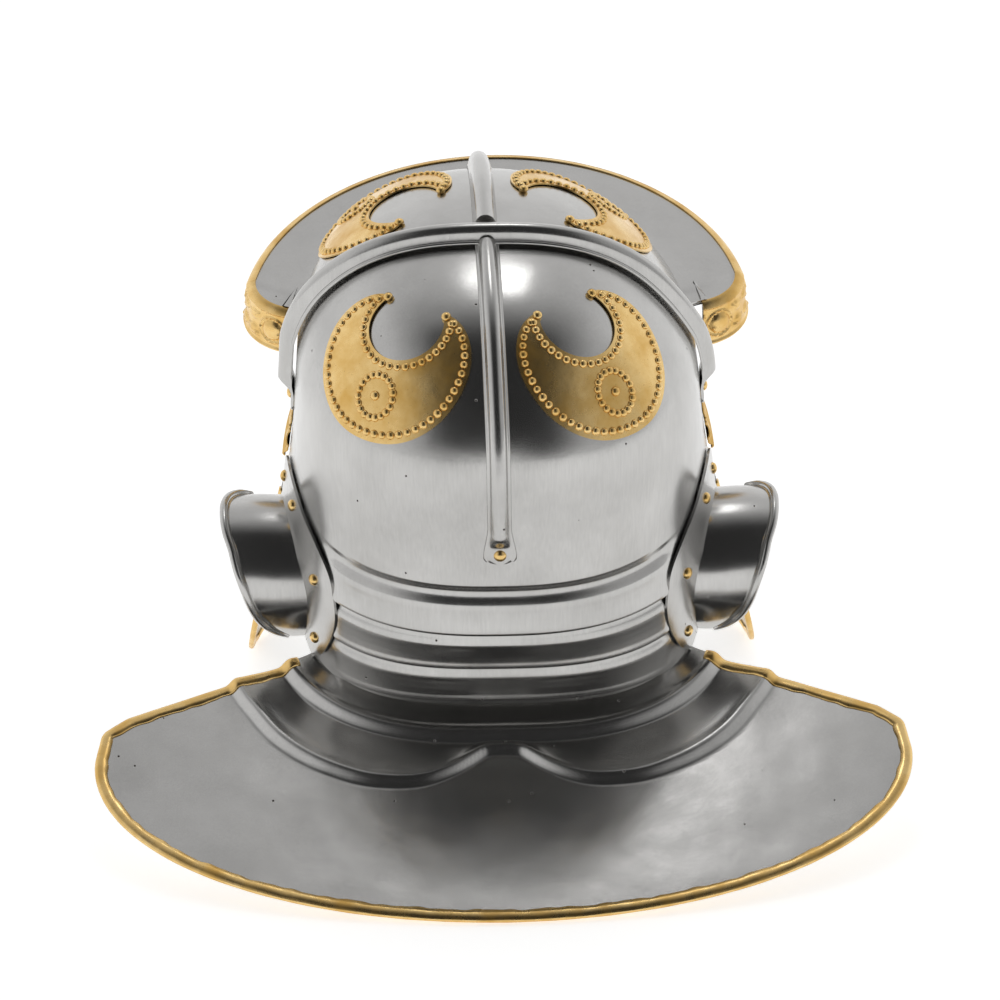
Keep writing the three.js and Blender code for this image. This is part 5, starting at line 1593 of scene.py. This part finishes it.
@dataclass
class Studio:
    """Pale floor, soft lights and the camera behind the helmet."""

    height: float = 23.995
    aim: tuple[float, float, float] = (0.0, -0.011425, 0.161608)
    roll: float = 1.0
    distance: float = 1.4
    focal_px: float = 2884.0
    frame_px: float = 1000.0
    aim_px: tuple[float, float] = (499.0, 447.0)
    paper_glow: float = 0.6
    floor_half: float = 6.0

    def camera(self) -> None:
        """The camera, turned so that its aim point lands where the photograph has it."""
        rise = math.radians(self.height)
        back = Vector((0, -math.cos(rise), math.sin(rise)))
        data = bpy.data.cameras.new("camera")
        data.sensor_width = 36.0
        data.lens = self.focal_px / self.frame_px * data.sensor_width
        data.clip_end = 50.0
        made = bpy.data.objects.new("camera", data)
        bpy.context.scene.collection.objects.link(made)
        made.location = Vector(self.aim) + back * self.distance
        pitch = rise + math.atan((self.frame_px / 2 - self.aim_px[1]) / self.focal_px)
        yaw = math.atan((self.aim_px[0] - self.frame_px / 2) / self.focal_px)
        turn = Matrix.Rotation(yaw, 3, "Z") @ Matrix.Rotation(math.pi / 2 - pitch, 3, "X")
        made.rotation_euler = (turn @ Matrix.Rotation(-math.radians(self.roll), 3, "Z")).to_euler()
        bpy.context.scene.camera = made

    def floor(self) -> None:
        """A wide pale floor."""
        half = self.floor_half
        corners = np.array([(-half, -half, 0), (half, -half, 0), (half, half, 0), (-half, half, 0)],
                           dtype=float)
        made = add_object("floor", corners, [(0, 1, 2, 3)])
        matt = bpy.data.materials.new("pale paper")
        matt.use_nodes = True
        shader = matt.node_tree.nodes["Principled BSDF"]
        shader.inputs["Base Color"].default_value = linear("#F2F2F1")
        shader.inputs["Roughness"].default_value = 0.9
        shader.inputs["Emission Color"].default_value = (1.0, 1.0, 1.0, 1.0)
        shader.inputs["Emission Strength"].default_value = self.paper_glow
        made.data.materials.append(matt)

    def lamp(self, name: str, place: Sequence[float], size: Sequence[float], power: float) -> None:
        """A soft box that faces the helmet."""
        data = bpy.data.lights.new(name, "AREA")
        data.shape = "RECTANGLE"
        data.size, data.size_y = size
        data.energy = power
        made = bpy.data.objects.new(name, data)
        bpy.context.scene.collection.objects.link(made)
        made.location = place
        made.rotation_euler = (Vector((0, 0, 0.15)) - Vector(place)).to_track_quat("-Z", "Y").to_euler()

    def world(self) -> None:
        """The room that the steel mirrors: white in front, dark behind the camera, grey at the sides."""
        world = bpy.data.worlds.new("room")
        bpy.context.scene.world = world
        world.use_nodes = True
        tree = world.node_tree
        tree.nodes.clear()
        way = add(tree, "ShaderNodeTexCoord").outputs["Generated"]
        x, y, z = add(tree, "ShaderNodeSeparateXYZ", Vector=way).outputs

        def rise(value: bpy.types.NodeSocket, low: float, high: float, bottom: float,
                 top: float) -> bpy.types.NodeSocket:
            """An eased change of level over a range of a direction's part."""
            return add(tree, "ShaderNodeMapRange", {"interpolation_type": "SMOOTHSTEP"}, i0=value,
                       i1=low, i2=high,
                       i3=bottom, i4=top).outputs[0]

        def joined(how: str, one: object, other: object) -> bpy.types.NodeSocket:
            """Two levels joined by a sum."""
            return add(tree, "ShaderNodeMath", {"operation": how}, i0=one, i1=other).outputs[0]

        wide = joined("ABSOLUTE", x, 0.0)
        behind = rise(y, -0.3, 0.35, 1.0, 0.0)
        sides = joined("MULTIPLY", rise(wide, 0.3, 0.75, 0.0, 1.0), rise(x, -0.9, 0.9, 0.8, 0.5))
        ahead = joined("MULTIPLY", rise(y, -0.3, 0.35, 0.0, 1.0), rise(z, 0.45, 0.95, 0.95, 0.6))
        level = joined("ADD", joined("ADD", ahead, joined("MULTIPLY", behind, sides)), 0.03)
        room = add(tree, "ShaderNodeBackground", Color=level, Strength=1.0)
        white = add(tree, "ShaderNodeBackground", Color=(1, 1, 1, 1), Strength=1.0)
        seen = add(tree, "ShaderNodeLightPath").outputs["Is Camera Ray"]
        both = add(tree, "ShaderNodeMixShader", i0=seen, i1=room.outputs[0], i2=white.outputs[0])
        add(tree, "ShaderNodeOutputWorld", Surface=both.outputs[0])

    def build(self) -> None:
        """Sets the studio up."""
        bpy.context.scene.view_settings.view_transform = "Standard"
        self.camera()
        self.floor()
        self.world()
        self.lamp("soft box", (0.06, 0.52, 1.65), (0.3, 0.4), 1.1)


def dress_hinges() -> None:
    """Gives the hinges' own solids their finish."""
    for name, node in frame["nodes"].items():
        if not name.startswith("hinge_"):
            continue
        for place in node.material_slots:
            place.material = DARK.material()


def main() -> None:
    """Builds the studio and every piece in order."""
    Studio().build()
    Bowl().build()
    NeckGuard().build()
    Bars().build()
    Peak().build()
    BrowStrip().build()
    EarGuards().build()
    for side in Side:
        for word, x, y, turn_side in (("rear", 39.0, -50.0, -side.sign), ("front", 37.5, 38.0, side.sign)):
            Crescent(f"crescent_{word}_{side.word}", side.sign * x, y, turn_side).build()
    CheekGuards().build()
    dress_hinges()


if __name__ == "__main__":
    main()
